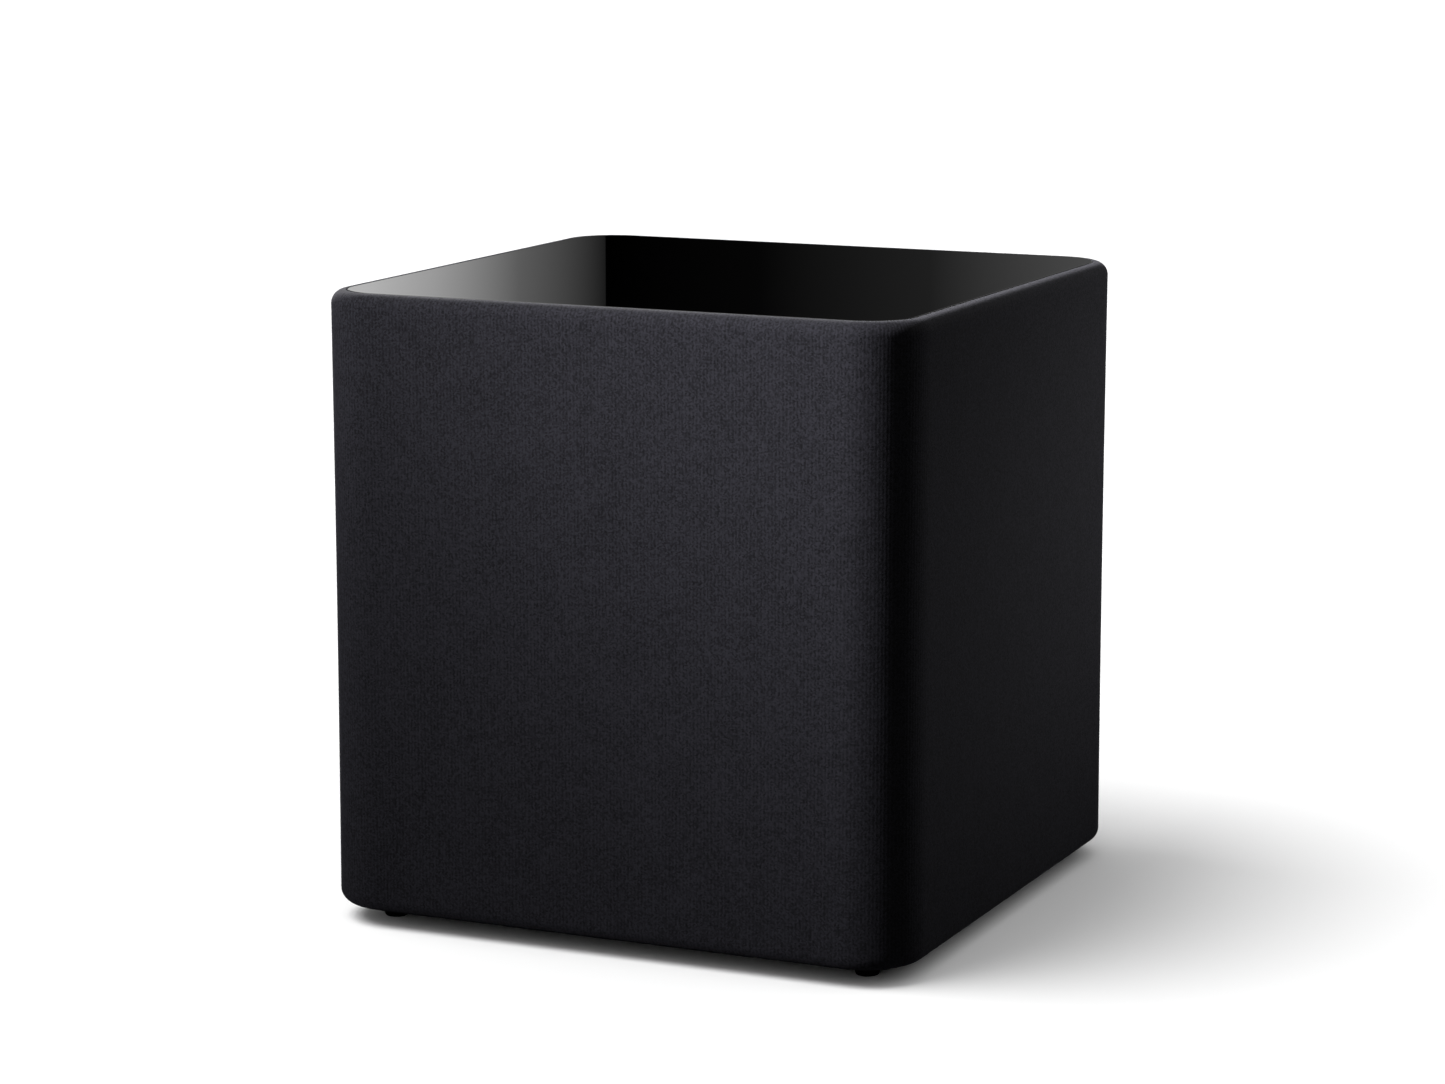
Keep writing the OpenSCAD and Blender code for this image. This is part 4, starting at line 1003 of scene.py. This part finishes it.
class StageOperator(bpy.types.Operator):
    """Sets the pale floor, the soft lights and the camera"""
    bl_idname = "subwoofer.stage"
    bl_label = "Studio stage"

    camera_place = (1.0907, -2.4389, 0.7225)
    card_y = 8.0            # distance of the reflected cards behind the body
    card_w = 4.0
    card_strength = 0.76
    card_turn = math.radians(1.66)      # from the middle of the view to where the two cards meet
    card_low, card_high = -1, 9
    paper_white = 0.93
    paper_half = 30         # half the paper's width; it starts as far in front, and runs twice as far back
    ceiling_half = 2.5
    ceiling_strength = 1.4
    ceiling_z = 3.2

    def flat(self, name, corners, surface):
        """A single face that belongs to the stage."""
        mesh = bpy.data.meshes.new(name)
        mesh.from_pydata(corners, [], [range(len(corners))])
        mesh.materials.append(surface)
        made = new_object(name, mesh)
        return made

    def paper(self):
        """Matt white paper, overlit so that it reads as white, but calm for the light that it returns."""
        surface, tree, shader = finish("seamless_paper", (self.paper_white,) * 3, roughness=0.9)
        shader.inputs["Specular IOR Level"].default_value = 0.0
        tone = by_camera(tree, srgb("#363636"), (self.paper_white,) * 3)
        tree.links.new(tone, shader.inputs["Base Color"])
        return surface

    def card(self, name, corners, strength, stops):
        """A card seen only in reflections, whose brightness runs through the stops from left to right."""
        left, right = corners[0][0], corners[2][0]
        surface = bpy.data.materials.new(name)
        surface.use_nodes = True
        tree = surface.node_tree
        tree.nodes.remove(tree.nodes["Principled BSDF"])
        where = add(tree, "ShaderNodeTexCoord").outputs["Object"]
        across = add(tree, "ShaderNodeSeparateXYZ", {0: where}).outputs["X"]
        part = add(tree, "ShaderNodeMapRange", {"Value": across, "From Min": left, "From Max": right})
        tone = ramp(tree, part.outputs["Result"], [(at, (level,) * 3) for at, level in stops])
        glow = add(tree, "ShaderNodeEmission", {"Color": tone, "Strength": strength})
        tree.links.new(glow.outputs[0], tree.nodes["Material Output"].inputs["Surface"])
        made = self.flat(name, corners, surface)
        made.visible_camera = made.visible_diffuse = made.visible_shadow = made.visible_transmission = False

    def standing(self, left, right):
        """Corners of a card that stands behind the body."""
        y, low, high = self.card_y, self.card_low, self.card_high
        return [(left, y, low), (right, y, low), (right, y, high), (left, y, high)]

    def softbox(self, name, place, aim, size, spread, watts):
        """A square area light turned towards a point, with its beam held to the spread in degrees."""
        lamp = bpy.data.lights.new(name, "AREA")
        lamp.size = size
        lamp.spread = math.radians(spread)
        lamp.energy = watts
        made = new_object(name, lamp)
        made.location = place
        made.rotation_euler = (Vector(place) - Vector(aim)).to_track_quat("Z", "Y").to_euler()
        return made

    def linked(self, name, state, *pieces):
        """A collection that holds the pieces, for lights that light only them, or all but them."""
        group = bpy.data.collections.new(name)
        for piece in pieces:
            group.objects.link(bpy.data.objects[piece])
        for member in group.collection_objects:
            member.light_linking.link_state = state
        return group

    def execute(self, context):
        settings = context.scene.subwoofer_stage
        half = self.paper_half
        corners = [(-half, -half, 0), (half, -half, 0), (half, 2 * half, 0), (-half, 2 * half, 0)]
        self.flat("paper_floor", corners, self.paper())
        away = self.card_y - self.camera_place[1]
        edge = self.camera_place[0] - math.tan(settings.yaw + self.card_turn) * away
        self.card("bright_card", self.standing(edge - self.card_w, edge), self.card_strength,
                  [(0.0, 0.95), (0.8, 0.9), (0.86, 0.62), (0.93, 0.2), (1.0, 0.02)])
        self.card("dark_card", self.standing(edge, edge + self.card_w), self.card_strength,
                  [(0.0, 0.0), (0.12, 0.003), (0.25, 0.025), (0.4, 0.15), (1.0, 0.4)])
        half, top = self.ceiling_half, self.ceiling_z
        corners = [(-half, -half, top), (-half, half, top), (half, half, top), (half, -half, top)]
        self.card("ceiling_card", corners, self.ceiling_strength, [(0.0, 1.0), (0.5, 0.6), (1.0, 0.35)])
        on_floor = self.linked("floor_light", "INCLUDE", "paper_floor")
        off_floor = self.linked("body_light", "EXCLUDE", "paper_floor")
        off_top = self.linked("rear_light", "EXCLUDE", "paper_floor", "lacquered_top")
        for name, way, spread, strength in (("key_sun", (-0.40, -0.25, 0.87), 40, settings.key),
                                            ("sky_sun", (-0.1, -0.1, 1.0), 150, settings.sky)):
            sun = bpy.data.lights.new(name, "SUN")
            sun.energy = strength
            sun.angle = math.radians(spread)
            holder = new_object(name, sun)
            holder.rotation_euler = Vector(way).to_track_quat("Z", "Y").to_euler()
            holder.light_linking.receiver_collection = on_floor
        for name, place, aim, size, spread, watts in (
                ("front_softbox", (-1.65, -1.9, 1.5), (0.13, -0.21, 0.46), 0.5, 32, settings.front),
                ("front_spot", (-1.1, -1.35, 1.35), (0.19, -0.21, 0.5), 0.2, 24, settings.spot),
                ("side_softbox", (1.15, 1.45, 0.55), (0.2, 0.24, 0.29), 0.25, 26, settings.side),
                ("rear_softbox", (-1.7, 1.9, 1.7), (0, 0.2, 0.2), 1.0, 120, settings.rear)):
            lamp = self.softbox(name, place, aim, size, spread, watts)
            lamp.light_linking.receiver_collection = off_top if name == "rear_softbox" else off_floor
        world = context.scene.world or bpy.data.worlds.new("studio")
        context.scene.world = world
        world.use_nodes = True
        tree = world.node_tree
        tree.nodes.clear()
        tone = by_camera(tree, (settings.ambient,) * 3, (1, 1, 1))
        air = add(tree, "ShaderNodeBackground", {"Color": tone, "Strength": 1.0})
        add(tree, "ShaderNodeOutputWorld", {"Surface": air.outputs[0]})
        lens = bpy.data.cameras.new("studio_camera")
        lens.lens = settings.lens
        lens.sensor_width = 36
        lens.clip_end = 200
        camera = new_object("studio_camera", lens)
        camera.location = self.camera_place
        camera.rotation_euler = (math.pi / 2 - settings.pitch, 0, settings.yaw)
        context.scene.camera = camera
        context.scene.view_settings.view_transform = "Standard"
        return {"FINISHED"}


class SubwooferPanel(bpy.types.Panel):
    """Lists the pieces and their settings"""
    bl_idname = "VIEW3D_PT_subwoofer"
    bl_label = "Subwoofer"
    bl_space_type = "VIEW_3D"
    bl_region_type = "UI"
    bl_category = "Subwoofer"

    def draw(self, context):
        for group in SETTINGS:
            for name in group.__annotations__:
                self.layout.prop(getattr(context.scene, SETTINGS[group]), name)
        for operator in OPERATORS:
            self.layout.operator(operator.bl_idname)


SETTINGS = {
    FabricSettings: "subwoofer_fabric",
    PlateSettings: "subwoofer_plate",
    StageSettings: "subwoofer_stage",
}
OPERATORS = (SleeveOperator, TopPlateOperator, FeetOperator, KnobsOperator, HardwareOperator, PrintsOperator,
             SuspensionOperator, WaddingOperator, FrameFinishesOperator, StageOperator)


def register():
    """Registers the settings, the operators and the panel."""
    for group, name in SETTINGS.items():
        bpy.utils.register_class(group)
        setattr(bpy.types.Scene, name, PointerProperty(type=group))
    for operator in OPERATORS:
        bpy.utils.register_class(operator)
    bpy.utils.register_class(SubwooferPanel)


def unregister():
    """Takes back what register did."""
    bpy.utils.unregister_class(SubwooferPanel)
    for operator in reversed(OPERATORS):
        bpy.utils.unregister_class(operator)
    for group, name in SETTINGS.items():
        delattr(bpy.types.Scene, name)
        bpy.utils.unregister_class(group)


def main():
    """Builds every piece in order."""
    register()
    for operator in OPERATORS:
        kind, name = operator.bl_idname.split(".")
        getattr(getattr(bpy.ops, kind), name)()


if __name__ == "__main__":
    main()
